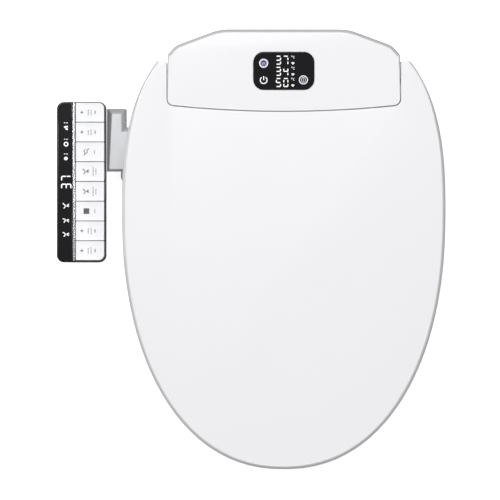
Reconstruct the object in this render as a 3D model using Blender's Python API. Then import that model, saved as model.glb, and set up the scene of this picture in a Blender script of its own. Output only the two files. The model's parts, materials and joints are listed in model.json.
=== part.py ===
"""Electric bidet seat with a side control panel: the mechanical model, in metres.

+X is the user's left, +Y the rear and +Z up. The origin lies midway between the two fixing
bolts, on the face of the mounting plate that sits on the toilet bowl.
"""

import math

import bmesh
import bpy
import numpy as np
from mathutils import Matrix, Vector

MM = 0.001
GAP = 0.3 * MM

# Lid, seen from above: a long superellipse in front of its widest line, a short one behind it.
LID_HALF_WIDTH = 186.5 * MM
WIDEST_Y = -163 * MM
LID_FRONT_LENGTH = 294.5 * MM
LID_REAR_LENGTH = 230 * MM
FRONT_EXPONENT = 2.2
REAR_EXPONENT = 2.7
LID_REAR_Y = 13.6 * MM
LID_EAR_CORNER = 4.2 * MM
LID_INNER_CORNER = 4.2 * MM
LID_WALL = 2.8 * MM
LID_EDGE = 3.5 * MM
SKIRT_OVERLAP = 3 * MM

# The top plane that the lid and the housing share.
TOP_Z = 108 * MM
TOP_SLOPE = 0.1267

# Housing at the rear.
COVER_HALF_WIDTH = 133.7 * MM
COVER_REAR_Y = 50 * MM
# Bends of the rear edge: distance in from the side, distance forward from the rear, radius.
COVER_BENDS = (
    (0.0, 28.8 * MM, 2 * MM),
    (9.5 * MM, 18.5 * MM, 20 * MM),
    (59.4 * MM, 0.0, 60 * MM),
)
COVER_SIDE_FRONT_Y = -36.5 * MM
COVER_BOW = 7.2 * MM
COVER_CORNER = 7 * MM
COVER_EDGE = 3 * MM
COVER_WALL = 2.5 * MM
COVER_TO_LID = 1.2 * MM
SPLIT_Z = 62 * MM
TRAY_INSET = 1.2 * MM
TRAY_FLOOR_Z = 13 * MM
TRAY_FRONT_Y = -38 * MM
TRAY_WALL = 2.5 * MM

# Hinge line of the lid and the seat ring.
HINGE_Y = -2 * MM
HINGE_Z = 84 * MM
PIN_RADIUS = 4 * MM
LUG_RADIUS = 10 * MM
SEAT_LUG_WIDTH = 7 * MM
LID_LUG_WIDTH = 6 * MM
LUG_CLEARANCE = 0.9 * MM
DAMPER_RADIUS = 9 * MM
DAMPER_LENGTH = 30 * MM

# Seat ring.
SEAT_INSET = 5.5 * MM
SEAT_REAR_Y = -46 * MM
SEAT_CORNER = 25 * MM
SEAT_FRONT_Z = 33 * MM
SEAT_SLOPE = 0.078
SEAT_BOTTOM_Z = 8 * MM
SEAT_ARCH_Z = 31 * MM
SEAT_ARCH_START_Y = -158 * MM
SEAT_ARCH_END_Y = -134 * MM
SEAT_WALL = 3 * MM
RING_SIDE_WIDTH = 76 * MM
RING_FRONT_WIDTH = 72 * MM
OPENING_REAR_Y = -100 * MM
OPENING_HALF_WIDTH = LID_HALF_WIDTH - SEAT_INSET - RING_SIDE_WIDTH
OPENING_FRONT_Y = WIDEST_Y - LID_FRONT_LENGTH + SEAT_INSET + RING_FRONT_WIDTH
OPENING_HALF_LENGTH = (OPENING_REAR_Y - OPENING_FRONT_Y) / 2
SEAT_CENTRE_Y = (OPENING_REAR_Y + OPENING_FRONT_Y) / 2

# Bumpers stand on the middle of the ring, at these Y places.
BUMPER_RADIUS = 9 * MM
FRONT_BUMPER_Y = OPENING_FRONT_Y - 4.3 * MM
REAR_BUMPER_Y = SEAT_ARCH_START_Y - 20 * MM
LID_BUMPER_Y = OPENING_FRONT_Y + 27 * MM
LID_BUMPER_RADIUS = 7 * MM

# Heater film and hinge ears.
HEATER_THICKNESS = 0.8 * MM
HEATER_MARGIN = 12 * MM
HEATER_REAR_Y = -72 * MM
EAR_FRONT_Y = -70 * MM
EAR_LOW_Z = 40 * MM
EAR_HIGH_Z = 52 * MM

# Fixing to the bowl.
BOLT_SPACING = 140 * MM
BOLT_RADIUS = 3.5 * MM
BOLT_LENGTH = 55 * MM
BOLT_HEAD_RADIUS = 9 * MM
BOWL_THICKNESS = 18 * MM
BOLT_HEAD_HEIGHT = 4.5 * MM
WASHER_HEIGHT = 14 * MM
WASHER_TOP_RADIUS = 10 * MM
WASHER_LOW_RADIUS = 15 * MM
NUT_WIDTH = 22 * MM
NUT_HEIGHT = 11 * MM
ADJUSTER_WIDTH = 38 * MM
ADJUSTER_DEPTH = 26 * MM
ADJUSTER_CORNER = 4 * MM
PLATE_MARGIN = 23 * MM
PLATE_HALF_WIDTH = BOLT_SPACING / 2 + ADJUSTER_WIDTH / 2 + PLATE_MARGIN
PLATE_DEPTH = 54 * MM
PLATE_THICKNESS = 6 * MM
PLATE_Y = 3 * MM
PLATE_EDGE = 1.2 * MM
RAIL_WIDTH = 6 * MM
RAIL_MARGIN = 3 * MM

# Display window in the top cover.
WINDOW_WIDTH = 70 * MM
WINDOW_DEPTH = 43.4 * MM
WINDOW_CORNER = 12 * MM
WINDOW_Y = 2 * MM
WINDOW_THICKNESS = 3 * MM
BOARD_THICKNESS = 1.6 * MM

# Side control panel.
PANEL_TO_LID = 18.7 * MM
PANEL_WIDTH = 57.2 * MM
PANEL_LEFT = -(LID_HALF_WIDTH + PANEL_TO_LID + PANEL_WIDTH)
PANEL_REAR_Y = -32.3 * MM
PANEL_LENGTH = 185.9 * MM
PANEL_CORNER = 8.4 * MM
PANEL_BOTTOM_Z = 20 * MM
PANEL_TOP_Z = 50 * MM
PANEL_WALL = 2 * MM
STRIP_WIDTH = 18 * MM
TRIM_WIDTH = 3.2 * MM
KEY_COUNT = 8
KEY_LENGTH_GAP = 0.7 * MM
KEY_HEIGHT = 4.4 * MM
KEY_TRAVEL = 1 * MM
KEY_EDGE = 0.5 * MM

# Arm between the housing and the panel.
ARM_REAR_Y = -39.8 * MM
ARM_FRONT_Y = -112.7 * MM
ARM_BLOCK_FRONT_Y = -61.5 * MM
ARM_BLOCK_RIGHT = PANEL_LEFT + PANEL_WIDTH + 23.2 * MM
ARM_LOBE_LEFT = PANEL_LEFT + PANEL_WIDTH + 16.4 * MM
ARM_LOBE_FRONT_Y = SEAT_ARCH_END_Y + 9 * MM
ARM_LOBE_CORNER = 7 * MM
ARM_BOTTOM_Z = 4 * MM
ARM_TOP_Z = 26 * MM
ARM_LEG_WIDTH = 20 * MM
ARM_LEG_REAR_Y = -4 * MM

# Wash nozzles.
NOZZLE_SLOPE = math.radians(16)
NOZZLE_SPACING = 17 * MM
NOZZLE_RADIUS = 5 * MM
NOZZLE_LENGTH = 82 * MM
NOZZLE_TIP_LENGTH = 14 * MM
NOZZLE_FRONT_Y = -40 * MM
NOZZLE_FRONT_Z = 22.5 * MM
NOZZLE_X = -8 * MM

# Places on the tray's side wall: y, z and radius.
INLET_PLACE = (-14 * MM, 28 * MM, 9 * MM)
INLET_BORE_RADIUS = 6 * MM
INLET_REACH = 15 * MM
GLAND_PLACE = (10 * MM, 26 * MM, 5 * MM)
GLAND_REACH = 9 * MM
BUTTON_PLACE = (-20 * MM, 49 * MM, 5 * MM)
BUTTON_REACH = 4 * MM

# Pieces inside the housing. The X ones are measured from the tray's inner side walls.
INNER_TOP_Z = SPLIT_Z - 5 * MM
INNER_X = COVER_HALF_WIDTH - TRAY_INSET - TRAY_WALL
TANK_MARGIN = 18 * MM
TANK_WIDTH = 54 * MM
TANK_FRONT_Y = -30 * MM
TANK_REAR_Y = 20 * MM
TANK_EDGE = 3 * MM
VALVE_MARGIN = 30 * MM
VALVE_WIDTH = 32 * MM
VALVE_DEPTH = 10 * MM
VALVE_HIGH_Z = 44 * MM
VALVE_TO_TANK = 4 * MM
VALVE_STEM_RADIUS = 5 * MM
PUMP_RADIUS = 13 * MM
PUMP_LENGTH = 28 * MM
PUMP_FRONT_Y = -4 * MM
PUMP_MARGIN = 9 * MM
MAIN_BOARD_LEFT = -50 * MM
MAIN_BOARD_RIGHT = 34 * MM
MOTOR_RADIUS = 10 * MM
MOTOR_LENGTH = 15 * MM
MOTOR_PLACE = (8 * MM, 30 * MM)
GUIDE_WALL = 4 * MM
GUIDE_REAR_Y = 29 * MM

# Dryer.
FAN_X = 62 * MM
FAN_Y = 14 * MM
FAN_Z = 34 * MM
FAN_RADIUS = 19 * MM
FAN_BLADES = 8
FAN_LENGTH = 16 * MM
FAN_CLEARANCE = 2 * MM
FAN_MOTOR_RADIUS = 11 * MM
DRUM_WALL = 2 * MM
DRUM_HIGH_Z = 50 * MM
DUCT_WALL = 1.6 * MM
DUCT_WIDTH = 34 * MM
DUCT_HEIGHT = 13 * MM
DUCT_Z = 24 * MM

COLOURS = {
    "white_shell": ((0.84, 0.84, 0.86), 0.25, 0.0),
    "off_white": ((0.70, 0.71, 0.73), 0.40, 0.0),
    "black_glass": ((0.010, 0.010, 0.012), 0.08, 0.0),
    "silver_trim": ((0.75, 0.75, 0.76), 0.22, 1.0),
    "dark_case": ((0.10, 0.10, 0.11), 0.45, 0.0),
    "black_plastic": ((0.02, 0.02, 0.022), 0.50, 0.0),
    "steel": ((0.58, 0.58, 0.58), 0.28, 1.0),
    "rubber": ((0.09, 0.09, 0.09), 0.75, 0.0),
    "board_green": ((0.02, 0.16, 0.07), 0.50, 0.0),
    "brass": ((0.70, 0.50, 0.22), 0.30, 1.0),
    "amber_film": ((0.45, 0.20, 0.04), 0.40, 0.0),
}


def clear_scene():
    for obj in list(bpy.data.objects):
        bpy.data.objects.remove(obj, do_unlink=True)


def material(name, kind):
    """A Principled material of one of the finishes in COLOURS."""
    colour, roughness, metallic = COLOURS[kind]
    made = bpy.data.materials.new(name + "_" + kind)
    made.use_nodes = True
    shader = made.node_tree.nodes["Principled BSDF"]
    shader.inputs["Base Color"].default_value = (*colour, 1.0)
    shader.inputs["Roughness"].default_value = roughness
    shader.inputs["Metallic"].default_value = metallic
    return made


def finish(name, bm, kind, parent=None):
    """Turns a bmesh in world space into an object, its origin on its parent's."""
    bmesh.ops.remove_doubles(bm, verts=bm.verts, dist=1e-6)
    bmesh.ops.recalc_face_normals(bm, faces=bm.faces)
    mesh = bpy.data.meshes.new(name)
    bm.to_mesh(mesh)
    bm.free()
    obj = bpy.data.objects.new(name, mesh)
    bpy.context.scene.collection.objects.link(obj)
    obj.data.materials.append(material(name, kind))
    if parent is not None:
        mesh.transform(Matrix.Translation(-parent.location))
        obj.parent = parent
    mesh.shade_smooth()
    mesh.set_sharp_from_angle(angle=math.radians(35))
    return obj


def pivot(name, location):
    """An empty on a joint's axis, which carries that joint's pieces."""
    empty = bpy.data.objects.new(name, None)
    empty.location = location
    bpy.context.scene.collection.objects.link(empty)
    bpy.context.view_layer.update()
    return empty


def helper(bm):
    """A hidden object for a Boolean, in world space."""
    bmesh.ops.remove_doubles(bm, verts=bm.verts, dist=1e-6)
    bmesh.ops.recalc_face_normals(bm, faces=bm.faces)
    mesh = bpy.data.meshes.new("cutter")
    bm.to_mesh(mesh)
    bm.free()
    obj = bpy.data.objects.new("cutter", mesh)
    obj.hide_render = True
    obj.display_type = "WIRE"
    bpy.context.scene.collection.objects.link(obj)
    return obj


def boolean(obj, bm, operation):
    modifier = obj.modifiers.new(operation.title(), "BOOLEAN")
    modifier.operation = operation
    modifier.object = helper(bm)


def cut(obj, bm):
    boolean(obj, bm, "DIFFERENCE")


def add(obj, bm):
    boolean(obj, bm, "UNION")


def loft(rings, closed=False):
    """Skins matching rings of points in order and caps both ends, or joins the last to the first."""
    bm = bmesh.new()
    loops = [[bm.verts.new(point) for point in ring] for ring in rings]
    pairs = list(zip(loops, loops[1:]))
    if closed:
        pairs.append((loops[-1], loops[0]))
    for low, high in pairs:
        for i in range(len(low)):
            j = (i + 1) % len(low)
            bm.faces.new((low[i], low[j], high[j], high[i]))
    if not closed:
        bm.faces.new(loops[0])
        bm.faces.new(loops[-1])
    return bm


def box(low, high, bevel=0.0):
    bm = bmesh.new()
    size = Vector(high) - Vector(low)
    centre = (Vector(high) + Vector(low)) / 2
    matrix = Matrix.Translation(centre) @ Matrix.Diagonal((*size, 1))
    bmesh.ops.create_cube(bm, size=1, matrix=matrix)
    if bevel:
        bmesh.ops.bevel(bm, geom=bm.edges, offset=bevel, segments=1, affect="EDGES")
    return bm


def rod(start, end, radius, sides=20, end_radius=None):
    """A cylinder or a cone between two points."""
    start = Vector(start)
    end = Vector(end)
    across = end - start
    turn = across.to_track_quat("Z", "Y").to_matrix().to_4x4()
    bm = bmesh.new()
    bmesh.ops.create_cone(
        bm,
        cap_ends=True,
        segments=sides,
        radius1=radius,
        radius2=radius if end_radius is None else end_radius,
        depth=across.length,
        matrix=Matrix.Translation((start + end) / 2) @ turn,
    )
    return bm


def rounded(corners, radii, steps=5):
    """The polygon through these corners, each with an arc of its radius."""
    points = []
    for i, corner in enumerate(corners):
        corner = Vector(corner)
        radius = radii[i]
        if not radius:
            points.append(tuple(corner))
            continue
        before = (Vector(corners[i - 1]) - corner).normalized()
        after = (Vector(corners[(i + 1) % len(corners)]) - corner).normalized()
        half = before.angle(after) / 2
        centre = corner + (before + after).normalized() * (radius / math.sin(half))
        start = (corner + before * (radius / math.tan(half)) - centre).normalized()
        end = (corner + after * (radius / math.tan(half)) - centre).normalized()
        for step in range(steps + 1):
            share = step / steps
            points.append(tuple(centre + start.slerp(end, share) * radius))
    return points


def rounded_rectangle(centre_x, centre_y, width, depth, radius, steps=5):
    x = width / 2
    y = depth / 2
    corners = [
        (centre_x + x, centre_y - y, 0),
        (centre_x + x, centre_y + y, 0),
        (centre_x - x, centre_y + y, 0),
        (centre_x - x, centre_y - y, 0),
    ]
    return [point[:2] for point in rounded(corners, [radius] * 4, steps)]


def inset(outline, distance):
    """The closed outline (anticlockwise) moved inwards by the distance."""
    points = np.array([point[:2] for point in outline])
    ahead = np.roll(points, -1, axis=0) - points
    ahead /= np.linalg.norm(ahead, axis=1)[:, None]
    behind = np.roll(ahead, 1, axis=0)
    normal_ahead = np.stack([-ahead[:, 1], ahead[:, 0]], axis=1)
    normal_behind = np.stack([-behind[:, 1], behind[:, 0]], axis=1)
    middle = normal_ahead + normal_behind
    middle /= np.sum(middle * normal_ahead, axis=1)[:, None]
    return [tuple(point) for point in points + middle * distance]


def mirrored(half):
    """A whole outline from its +X half, which runs from the front to the rear."""
    other = [(-x, y) for x, y in reversed(half) if x > 1e-9]
    return list(half) + other


def top_plane(y):
    return TOP_Z + TOP_SLOPE * y


def seat_plane(y):
    tip = WIDEST_Y - LID_FRONT_LENGTH + SEAT_INSET
    return SEAT_FRONT_Z + SEAT_SLOPE * (y - tip)


def seat_underside(y):
    share = (y - SEAT_ARCH_START_Y) / (SEAT_ARCH_END_Y - SEAT_ARCH_START_Y)
    share = min(max(share, 0.0), 1.0)
    return SEAT_BOTTOM_Z + (SEAT_ARCH_Z - SEAT_BOTTOM_Z) * share


def superellipse_half(half_width, front, rear, count):
    """The +X side from the front tip, past the widest line, towards the rear."""
    points = []
    for step in range(count + 1):
        angle = -math.pi / 2 + math.pi * step / count
        length = front if angle < 0 else rear
        power = FRONT_EXPONENT if angle < 0 else REAR_EXPONENT
        x = half_width * abs(math.cos(angle)) ** (2 / power)
        y = length * math.copysign(abs(math.sin(angle)) ** (2 / power), angle)
        points.append((x, WIDEST_Y + y))
    return points


def width_at(y, half_width, rear):
    share = (y - WIDEST_Y) / rear
    return half_width * (1 - share**REAR_EXPONENT) ** (1 / REAR_EXPONENT)


def lid_outline():
    """Outer edge, rear corner of the ear, then the edge around the housing."""
    ear_x = width_at(LID_REAR_Y, LID_HALF_WIDTH, LID_REAR_LENGTH)
    curve = superellipse_half(LID_HALF_WIDTH, LID_FRONT_LENGTH, LID_REAR_LENGTH, 44)
    half = [point for point in curve if point[1] < LID_REAR_Y - 2 * LID_EAR_CORNER]
    inner_x = COVER_HALF_WIDTH + COVER_TO_LID
    front_y = COVER_SIDE_FRONT_Y - COVER_TO_LID
    corners = [half[-1], (ear_x, LID_REAR_Y), (inner_x, LID_REAR_Y), (inner_x, front_y)]
    corners += [cover_front_point(0.8, COVER_TO_LID)]
    corners = [(x, y, 0) for x, y in corners]
    radii = [0, LID_EAR_CORNER, LID_INNER_CORNER, COVER_CORNER + COVER_TO_LID, 0]
    half += [point[:2] for point in rounded(corners, radii, 4)[1:]]
    half += [cover_front_point(share, COVER_TO_LID) for share in (0.6, 0.4, 0.2, 0.0)]
    return mirrored(half)


def cover_front_point(share, clearance=0.0):
    """A point of the bowed front edge, at this share of the half width."""
    x = share * COVER_HALF_WIDTH
    bow = COVER_BOW * (1 - share**2)
    return (x, COVER_SIDE_FRONT_Y - bow - clearance)


def cover_outline():
    """Bowed front, straight sides, and a rear edge that bends forward to the shoulders."""
    half = [cover_front_point(share) for share in (0.0, 0.2, 0.4, 0.6)]
    corners = [cover_front_point(0.8), (COVER_HALF_WIDTH, COVER_SIDE_FRONT_Y)]
    radii = [0, COVER_CORNER]
    for inwards, forwards, radius in COVER_BENDS:
        corners.append((COVER_HALF_WIDTH - inwards, COVER_REAR_Y - forwards))
        radii.append(radius)
    corners.append((0, COVER_REAR_Y))
    radii.append(0)
    turned = rounded([(x, y, 0) for x, y in corners], radii, 4)
    half += [point[:2] for point in turned]
    return mirrored(half)


def at_plane(outline, drop, plane=top_plane):
    return [(x, y, plane(y) - drop) for x, y in outline]


def at_height(outline, z):
    return [(x, y, z) for x, y in outline]


def prism(outline, low, high):
    return loft([at_height(outline, low), at_height(outline, high)])


def circle(centre, radius, sides=20):
    x, y = centre
    turn = 2 * math.pi / sides
    return [(x + radius * math.cos(i * turn), y + radius * math.sin(i * turn)) for i in range(sides)]


def hexagon(centre, across_flats, sides=24):
    """A six-sided outline with extra points on its flats, to match a circle's."""
    x, y = centre
    points = []
    for i in range(sides):
        angle = 2 * math.pi * i / sides
        from_flat = (angle + math.pi / 6) % (math.pi / 3) - math.pi / 6
        radius = across_flats / 2 / math.cos(from_flat)
        points.append((x + radius * math.cos(angle), y + radius * math.sin(angle)))
    return points


def side_prism(profile, low_x, high_x):
    """A prism along X from a profile of (y, z) points."""
    return loft([[(x, y, z) for y, z in profile] for x in (low_x, high_x)])


# Lid


def build_lid(parent):
    outline = lid_outline()
    count = len(outline)

    def skirt(point):
        """The skirt hides the seat's edge, but stops at a lip beside the housing."""
        x, y = point
        lip = top_plane(y) - LID_WALL - 1.2 * MM
        if y > WIDEST_Y and abs(x) < width_at(y, LID_HALF_WIDTH, LID_REAR_LENGTH) - MM:
            return lip
        return seat_plane(y) - SKIRT_OVERLAP

    edge = inset(outline, 0.25 * LID_EDGE)
    top = inset(outline, LID_EDGE)
    inner = inset(outline, LID_WALL)
    low = [skirt(point) for point in outline]
    rings = [
        at_plane(top, 0),
        at_plane(edge, 0.3 * LID_EDGE),
        at_plane(outline, LID_EDGE),
        [(*outline[i], low[i]) for i in range(count)],
        [(*inner[i], low[i]) for i in range(count)],
        at_plane(inner, LID_WALL + 0.9 * MM),
    ]
    lid = finish("lid", loft(rings), "white_shell", parent)
    start = COVER_HALF_WIDTH + 2 * LUG_CLEARANCE + SEAT_LUG_WIDTH + LUG_CLEARANCE
    y = HINGE_Y
    z = HINGE_Z
    high = top_plane(y) - LID_WALL - 0.4 * MM
    profile = [(y + LUG_RADIUS, z), (y + LUG_RADIUS, high), (y - LUG_RADIUS, high)]
    for step in range(8):
        angle = math.pi + math.pi * step / 8
        profile.append((y + LUG_RADIUS * math.cos(angle), z + LUG_RADIUS * math.sin(angle)))
    for side in (-1, 1):
        ends = sorted((side * start, side * (start + LID_LUG_WIDTH)))
        add(lid, side_prism(profile, *ends))
        cut(lid, rod((ends[0] - MM, y, z), (ends[1] + MM, y, z), PIN_RADIUS + GAP))


def build_lid_bumpers(parent):
    for name, side in (("lid_bumper_left", 1), ("lid_bumper_right", -1)):
        x, y = ring_point(LID_BUMPER_Y)
        outline = circle((side * x, y), LID_BUMPER_RADIUS)
        rings = [at_plane(outline, -GAP, seat_plane)]
        rings.append(at_plane(outline, LID_WALL + 0.9 * MM + GAP))
        finish(name, loft(rings), "rubber", parent)


# Seat ring


def seat_outline():
    half_width = LID_HALF_WIDTH - SEAT_INSET
    front = LID_FRONT_LENGTH - SEAT_INSET
    rear = LID_REAR_LENGTH - SEAT_INSET
    curve = superellipse_half(half_width, front, rear, 44)
    half = [point for point in curve if point[1] < SEAT_REAR_Y - 1.3 * SEAT_CORNER]
    corner = (width_at(SEAT_REAR_Y, half_width, rear), SEAT_REAR_Y, 0)
    turned = rounded([(*half[-1], 0), corner, (0, SEAT_REAR_Y, 0)], [0, SEAT_CORNER, 0], 6)
    return mirrored(half + [point[:2] for point in turned[1:]])


def along_rays(outline, count=64):
    """Points of the outline in equally spaced directions from the middle of the opening."""
    points = np.array(outline) - (0.0, SEAT_CENTRE_Y)
    shares = np.linspace(0, 1, 40, endpoint=False)[:, None, None]
    dense = (points + (np.roll(points, -1, axis=0) - points) * shares).reshape(-1, 2)
    around = np.arctan2(dense[:, 1], dense[:, 0])
    reach = np.hypot(dense[:, 0], dense[:, 1])
    angles = 2 * math.pi * (np.arange(count) + 0.5) / count
    radii = np.interp(angles, around, reach, period=2 * math.pi)
    return [
        (radius * math.cos(angle), SEAT_CENTRE_Y + radius * math.sin(angle))
        for angle, radius in zip(angles, radii)
    ]


def opening_outline(margin=0.0, count=64):
    points = []
    for step in range(128):
        angle = 2 * math.pi * step / 128
        cosine = math.cos(angle)
        sine = math.sin(angle)
        x = (OPENING_HALF_WIDTH + margin) * math.copysign(abs(cosine) ** 0.93, cosine)
        y = (OPENING_HALF_LENGTH + margin) * math.copysign(abs(sine) ** 0.93, sine)
        points.append((x, SEAT_CENTRE_Y + y))
    return along_rays(points, count)


def between(outer, inner, share):
    """Points at this share of the way from the outer outline to the inner one."""
    return [
        (a[0] + (b[0] - a[0]) * share, a[1] + (b[1] - a[1]) * share)
        for a, b in zip(outer, inner)
    ]


def ring_point(y):
    """The point on the middle of the seat ring's +X side that is nearest to this y."""
    middle = between(along_rays(seat_outline(), 720), opening_outline(count=720), 0.5)
    return min((point for point in middle if point[0] > 0), key=lambda point: abs(point[1] - y))


def underside(outline, lift=0.0):
    return [(x, y, seat_underside(y) + lift) for x, y in outline]


def build_seat(parent):
    """The seat's upper shell, open below, with a hinge ear on each side."""
    outline = seat_outline()
    outer = along_rays(outline)
    outer_edge = along_rays(inset(outline, 2 * MM))
    outer_top = along_rays(inset(outline, 8 * MM))
    outer_wall = along_rays(inset(outline, SEAT_WALL))
    inner = opening_outline()
    inner_edge = opening_outline(2 * MM)
    inner_top = opening_outline(8 * MM)
    inner_wall = opening_outline(SEAT_WALL)
    rings = [
        underside(outer),
        at_plane(outer, 8 * MM, seat_plane),
        at_plane(outer_edge, 3 * MM, seat_plane),
        at_plane(outer_top, 0, seat_plane),
        at_plane(inner_top, 1.5 * MM, seat_plane),
        at_plane(inner_edge, 4.5 * MM, seat_plane),
        at_plane(inner, 9.5 * MM, seat_plane),
        underside(inner),
        underside(inner_wall),
        at_plane(inner_wall, 9.5 * MM, seat_plane),
        at_plane(inner_top, 1.5 * MM + SEAT_WALL, seat_plane),
        at_plane(outer_top, SEAT_WALL, seat_plane),
        at_plane(outer_wall, 8 * MM, seat_plane),
        underside(outer_wall),
    ]
    seat = finish("seat_top", loft(rings, closed=True), "white_shell", parent)
    start = COVER_HALF_WIDTH + 2 * LUG_CLEARANCE
    y = HINGE_Y
    z = HINGE_Z
    profile = [(EAR_FRONT_Y, EAR_HIGH_Z), (EAR_FRONT_Y, EAR_LOW_Z), (SEAT_REAR_Y - 12 * MM, EAR_LOW_Z)]
    for step in range(13):
        angle = math.radians(-50) + math.radians(165) * step / 12
        profile.append((y + LUG_RADIUS * math.cos(angle), z + LUG_RADIUS * math.sin(angle)))
    for side in (-1, 1):
        ends = sorted((side * start, side * (start + SEAT_LUG_WIDTH)))
        add(seat, side_prism(profile, *ends))
        cut(seat, rod((ends[0] - MM, y, z), (ends[1] + MM, y, z), PIN_RADIUS + GAP))

    outer_base = along_rays(inset(outline, SEAT_WALL + GAP))
    inner_base = opening_outline(SEAT_WALL + GAP)
    shares = (0, 0.33, 0.67, 1)
    rings = [underside(between(outer_base, inner_base, share), 0.2 * MM) for share in shares]
    rings += [underside(between(outer_base, inner_base, 1 - share), 2.2 * MM) for share in shares]
    finish("seat_base", loft(rings, closed=True), "off_white", parent)

    reach = along_rays([(x, min(y, HEATER_REAR_Y)) for x, y in inset(outline, HEATER_MARGIN)])
    inside = opening_outline(14 * MM)
    high = SEAT_WALL + 2 * MM
    rings = [
        at_plane(reach, high + HEATER_THICKNESS, seat_plane),
        at_plane(reach, high, seat_plane),
        at_plane(inside, high, seat_plane),
        at_plane(inside, high + HEATER_THICKNESS, seat_plane),
    ]
    finish("seat_heater_film", loft(rings, closed=True), "amber_film", parent)

    for end, near_y in (("front", FRONT_BUMPER_Y), ("rear", REAR_BUMPER_Y)):
        x, y = ring_point(near_y)
        for hand, side in (("left", 1), ("right", -1)):
            foot_outline = circle((side * x, y), BUMPER_RADIUS)
            rings = [at_height(foot_outline, 0), at_height(foot_outline, SEAT_BOTTOM_Z - GAP)]
            finish(f"seat_bumper_{end}_{hand}", loft(rings), "rubber", parent)


# Housing


def tray_outline(extra=0.0):
    outline = inset(cover_outline(), TRAY_INSET + extra)
    return [(x, max(y, TRAY_FRONT_Y + extra)) for x, y in outline]


def nozzle_ends(index, back=0.0):
    """The nozzle's front end at rest, or a point further back along its axis."""
    x = NOZZLE_X + (index - 0.5) * NOZZLE_SPACING
    y = NOZZLE_FRONT_Y + back * math.cos(NOZZLE_SLOPE)
    z = NOZZLE_FRONT_Z + back * math.sin(NOZZLE_SLOPE)
    return (x, y, z)


def build_tray():
    low = tray_outline()
    inner = tray_outline(TRAY_WALL)
    rings = [
        at_height(low, TRAY_FLOOR_Z),
        at_height(low, SPLIT_Z - GAP),
        at_height(inner, SPLIT_Z - GAP),
        at_height(inner, TRAY_FLOOR_Z + TRAY_WALL),
    ]
    tray = finish("base_tray", loft(rings), "off_white")
    for index in (0, 1):
        start = nozzle_ends(index, -6 * MM)
        end = nozzle_ends(index, 12 * MM)
        cut(tray, rod(start, end, NOZZLE_RADIUS + 0.6 * MM))
    half = DUCT_WIDTH / 2 + GAP
    low_z = DUCT_Z - DUCT_HEIGHT / 2 - GAP
    high_z = DUCT_Z + DUCT_HEIGHT / 2 + GAP
    front = (FAN_X - half, TRAY_FRONT_Y - MM, low_z)
    rear = (FAN_X + half, TRAY_FRONT_Y + TRAY_WALL + MM, high_z)
    cut(tray, box(front, rear))
    wall_x = COVER_HALF_WIDTH - TRAY_INSET
    for y, z, radius in (INLET_PLACE, GLAND_PLACE, BUTTON_PLACE):
        start = (wall_x - TRAY_WALL - MM, y, z)
        cut(tray, rod(start, (wall_x + MM, y, z), radius + GAP))


def build_cover():
    outline = cover_outline()
    edge = inset(outline, 0.25 * COVER_EDGE)
    top = inset(outline, COVER_EDGE)
    inner = inset(outline, COVER_WALL)
    rings = [
        at_plane(top, 0),
        at_plane(edge, 0.3 * COVER_EDGE),
        at_plane(outline, COVER_EDGE),
        at_height(outline, SPLIT_Z),
        at_height(inner, SPLIT_Z),
        at_plane(inner, COVER_WALL),
    ]
    cover = finish("top_cover", loft(rings), "white_shell")
    hole = rounded_rectangle(
        0, WINDOW_Y, WINDOW_WIDTH + 2 * GAP, WINDOW_DEPTH + 2 * GAP, WINDOW_CORNER + GAP
    )
    cut(cover, prism(hole, SPLIT_Z + 20 * MM, TOP_Z + 20 * MM))
    for side in (-1, 1):
        start = (side * (COVER_HALF_WIDTH - COVER_WALL - MM), HINGE_Y, HINGE_Z)
        end = (side * (COVER_HALF_WIDTH + MM), HINGE_Y, HINGE_Z)
        cut(cover, rod(start, end, PIN_RADIUS + GAP))


def build_display():
    pane = rounded_rectangle(0, WINDOW_Y, WINDOW_WIDTH, WINDOW_DEPTH, WINDOW_CORNER)
    rings = [at_plane(pane, WINDOW_THICKNESS), at_plane(pane, 0)]
    finish("display_window", loft(rings), "black_glass")
    board = rounded_rectangle(0, WINDOW_Y, WINDOW_WIDTH + 7 * MM, WINDOW_DEPTH + 5 * MM, 3 * MM, 2)
    drop = WINDOW_THICKNESS + GAP
    rings = [at_plane(board, drop + BOARD_THICKNESS), at_plane(board, drop)]
    finish("display_board", loft(rings), "board_green")


def build_hinges():
    for hand, side in (("left", 1), ("right", -1)):
        inner = COVER_HALF_WIDTH - COVER_WALL - 13 * MM
        outer = COVER_HALF_WIDTH + 3 * LUG_CLEARANCE + SEAT_LUG_WIDTH + LID_LUG_WIDTH + 0.6 * MM
        start = (side * inner, HINGE_Y, HINGE_Z)
        finish(f"hinge_pin_{hand}", rod(start, (side * outer, HINGE_Y, HINGE_Z), PIN_RADIUS), "steel")
        far = (side * (inner - GAP - DAMPER_LENGTH), HINGE_Y, HINGE_Z)
        near = (side * (inner - GAP), HINGE_Y, HINGE_Z)
        finish(f"soft_close_damper_{hand}", rod(far, near, DAMPER_RADIUS), "black_plastic")


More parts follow.
